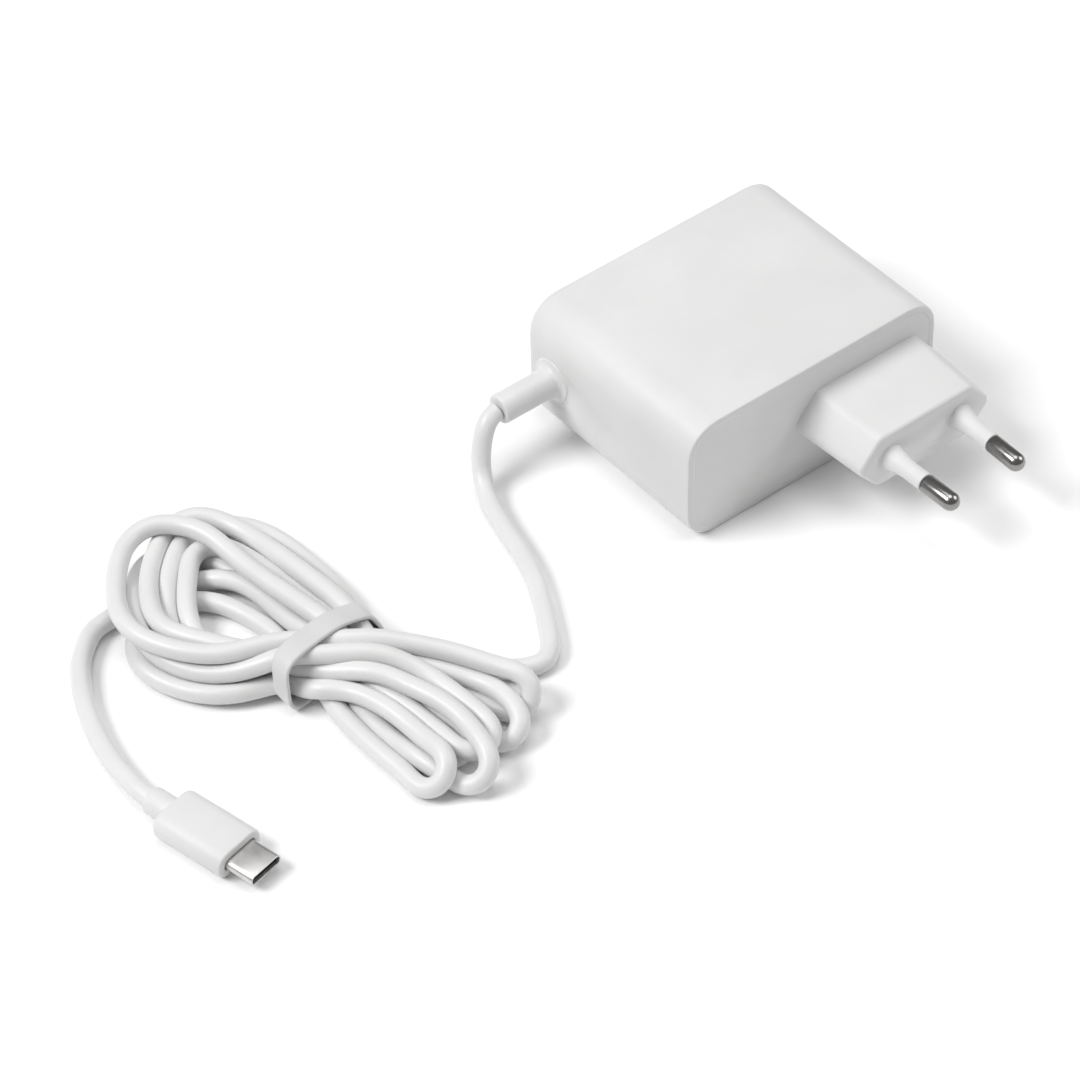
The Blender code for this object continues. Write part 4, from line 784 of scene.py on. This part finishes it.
def settle(line, free):
    """The hank's strands pushed a diameter apart, held down by the strap and stiff in bending."""
    rounds, last_rounds = 260, 8
    hold, reach, sink = 0.07, 0.0016, 0.00001
    most_push, push_share = 0.00035, 0.2
    upward_push, upward_hold = 0.4, 0.4
    least_apart, crossing_height = 2.2 * CORD_DIAMETER, 0.0015
    home, points = line.copy(), line.copy()
    apart = int(math.ceil(least_apart / ROUTE_STEP))
    one, two = np.triu_indices(len(points), apart)
    over = np.clip((home[one, 2] - home[two, 2]) / crossing_height, -1, 1)
    held = free & (np.abs((home - np.array(STRAP_CENTRE)) @ STRAP_PLANE) < STRAP_HOLD)
    for _ in range(rounds):
        gap = points[one] - points[two]
        distance = np.linalg.norm(gap, axis=1)
        near = distance < CORD_DIAMETER
        missing = (CORD_DIAMETER - distance[near])[:, None]
        way = gap[near]
        way[:, 2] += over[near] * upward_push * missing[:, 0]
        way = way * (0.5, 0.5, 1.0)
        way /= np.linalg.norm(way, axis=1)[:, None] + 1e-12
        move = np.zeros_like(points)
        np.add.at(move, one[near], way * missing * push_share)
        np.add.at(move, two[near], -way * missing * push_share)
        points += np.clip(move, -most_push, most_push)
        for _ in range(2):
            points = 0.4 * points + 0.6 * eased(points, 0.1)
        keep_bends(points)
        points[:, :2] += (home[:, :2] - points[:, :2]) * hold
        points[:, 2] += (home[:, 2] - points[:, 2]) * hold * upward_hold - sink
        aside = points[:, :2] - home[:, :2]
        far = np.linalg.norm(aside, axis=1)[:, None]
        points[:, :2] = home[:, :2] + aside * np.minimum(1, reach / np.maximum(far, 1e-9))
        points[:, 2] = np.clip(points[:, 2], CORD_BASE, HANK_CEILING)
        points[:, 1] = np.minimum(points[:, 1], HANK_BACK)
        points[held, 0] = np.clip(points[held, 0], EXIT.x + STRAP_LEFT, EXIT.x + STRAP_RIGHT)
        points[held, 2] = np.clip(points[held, 2], STRAP_LOW, STRAP_TOP)
        points[~free] = home[~free]
    for _ in range(last_rounds):
        keep_bends(points)
        points[free] = eased(points, 0.1)[free]
        points[~free] = home[~free]
        points[free, 2] = np.maximum(points[free, 2], CORD_BASE)
        points[held, 2] = np.maximum(points[held, 2], STRAP_LOW)
        points[:, 1] = np.minimum(points[:, 1], HANK_BACK)
    return points


def cord_line():
    """The whole cord's centreline, and which of its points are in the hank."""
    lead = cord_places(LEAD_ROUTE[:-2], EXIT.z)
    tail = cord_places(TAIL_ROUTE[1:], CONNECTOR_HEIGHT)
    line = smooth_curve(lead + hank_stations() + tail, ROUTE_STEP)
    start = int(np.argmin(np.linalg.norm(line[: len(line) // 4] - lead[-1], axis=1)))
    back = len(line) * 3 // 4
    end = back + int(np.argmin(np.linalg.norm(line[back:] - tail[0], axis=1)))
    free = np.zeros(len(line), bool)
    free[start:end] = True
    return settle(line, free), free


def make_cord(line):
    """One round curve, whose last step runs on inside the connector's collar."""
    line = np.vstack([line, 2 * line[-1] - line[-2]])
    curve = bpy.data.curves.new("cord", "CURVE")
    curve.dimensions = "3D"
    curve.bevel_depth = CORD_DIAMETER / 2
    curve.bevel_resolution = 6
    curve.use_fill_caps = True
    curve.resolution_u = 3
    spline = curve.splines.new("NURBS")
    spline.points.add(len(line) - 1)
    for point, place in zip(spline.points, line):
        point.co = (*place, 1.0)
    spline.order_u = 4
    spline.use_endpoint_u = True
    return add_piece("cord", curve, "white_elastomer", "cord_lead", "cord_hank", "cord_tail")


def hull(points):
    """The convex outline of points in a plane, anticlockwise."""
    points = sorted(map(tuple, points))
    chains = []
    for run in (points, points[::-1]):
        chain = []
        for p in run:
            while len(chain) > 1:
                (ax, ay), (bx, by) = chain[-2], chain[-1]
                if (bx - ax) * (p[1] - ay) - (by - ay) * (p[0] - ax) > 0:
                    break
                chain.pop()
            chain.append(p)
        chains += chain[:-1]
    return np.array(chains)


def closed_steps(outline, count):
    """Points at even steps round a closed outline."""
    ring = np.vstack([outline, outline[:1]])
    far = np.r_[0, np.cumsum(np.linalg.norm(np.diff(ring, axis=0), axis=1))]
    along = np.linspace(0, far[-1], count, endpoint=False)
    return np.stack([np.interp(along, far, ring[:, axis]) for axis in range(2)], axis=1)


def band_outline(cross):
    """The band's inner outline, as X and Z points: close round the strands, clear of the ground."""
    radius = CORD_DIAMETER / 2 + STRAP_SLACK
    turns = np.linspace(0, 2 * math.pi, 28, endpoint=False)
    circle = np.stack([np.cos(turns), np.sin(turns)], axis=1) * radius
    ring = closed_steps(hull((cross[:, None] + circle[None]).reshape(-1, 2)), STRAP_STEPS)
    for _ in range(10):
        ring = 0.5 * ring + 0.25 * (np.roll(ring, 1, axis=0) + np.roll(ring, -1, axis=0))
    ring[:, 1] = np.maximum(ring[:, 1], STRAP_THICKNESS + STRAP_SLACK - STRAP_MIDDLE)
    return ring


def band_section():
    """The flat band's section with its rounded corners: places across it, and heights on it."""
    half, corner = STRAP_WIDTH / 2, STRAP_THICKNESS * 0.42
    section = []
    for across, height, start in (
        (half - corner, STRAP_THICKNESS - corner, 0),
        (corner - half, STRAP_THICKNESS - corner, 90),
        (corner - half, corner, 180),
        (half - corner, corner, 270),
    ):
        for i in range(4):
            turn = math.radians(start + 30 * i)
            section.append((across + corner * math.cos(turn), height + corner * math.sin(turn)))
    return section


def make_strap(line, free):
    """A soft flat band drawn round the strands, turned and leaning a little over the hank."""
    middle = Vector(STRAP_CENTRE)
    side = Vector((1, math.tan(STRAP_TURN), 0))
    up = Vector((0, math.tan(STRAP_LEAN), 1))
    along = Vector((0, -1, 0))
    places = line[free] - np.array(middle)
    near = np.abs(places @ STRAP_PLANE) < STRAP_WIDTH / 2
    ring = band_outline(places[near][:, [0, 2]])
    ahead = np.roll(ring, -1, axis=0) - np.roll(ring, 1, axis=0)
    outward = np.stack([ahead[:, 1], -ahead[:, 0]], axis=1)
    outward /= np.linalg.norm(outward, axis=1)[:, None]
    rings = []
    for (x, z), (out_x, out_z) in zip(ring, outward):
        rings.append([
            middle + side * (x + out_x * height) + up * (z + out_z * height) + along * across
            for across, height in band_section()
        ])
    return ring_piece("tie_band", rings, "strap", "tie_strap", sharp=None)


def main():
    """The camera and the cord come first, then the strap, the stage and every dressed piece."""
    make_camera()
    line, free = cord_line()
    cord = make_cord(line)
    band = make_strap(line, free)
    make_stage()
    for node, obj in NODES.items():
        obj.data.materials.clear()
        obj.data.materials.append(MATERIALS[SLOTS[node]])
    dress("housing_shell", "housing", EDGES["housing"])
    dress("plug_cover", "plug_housing", EDGES["plug_housing"])
    make_weld_bead()
    make_flange_seal()
    for hand in ("left", "right"):
        dress(f"pin_{hand}", f"mains_pin_{hand}", EDGES["mains_pin"])
        make_sleeve(hand)
    relief = dress("strain_relief", "cord_boot", EDGES["cord_boot"])
    collar = make_collar()
    overmould = dress("connector_overmould", "plug_body", EDGES["plug_body"])
    shell = dress("connector_shell", "plug_shell", EDGES["plug_shell"])
    insulator = dress("connector_insulator", "plug_insert", EDGES["plug_insert"])
    on_cord = [relief, band, collar, overmould, shell, insulator]
    on_cord += [NODES["upper_contacts"], NODES["lower_contacts"], NODES["connector_board"]]


main()
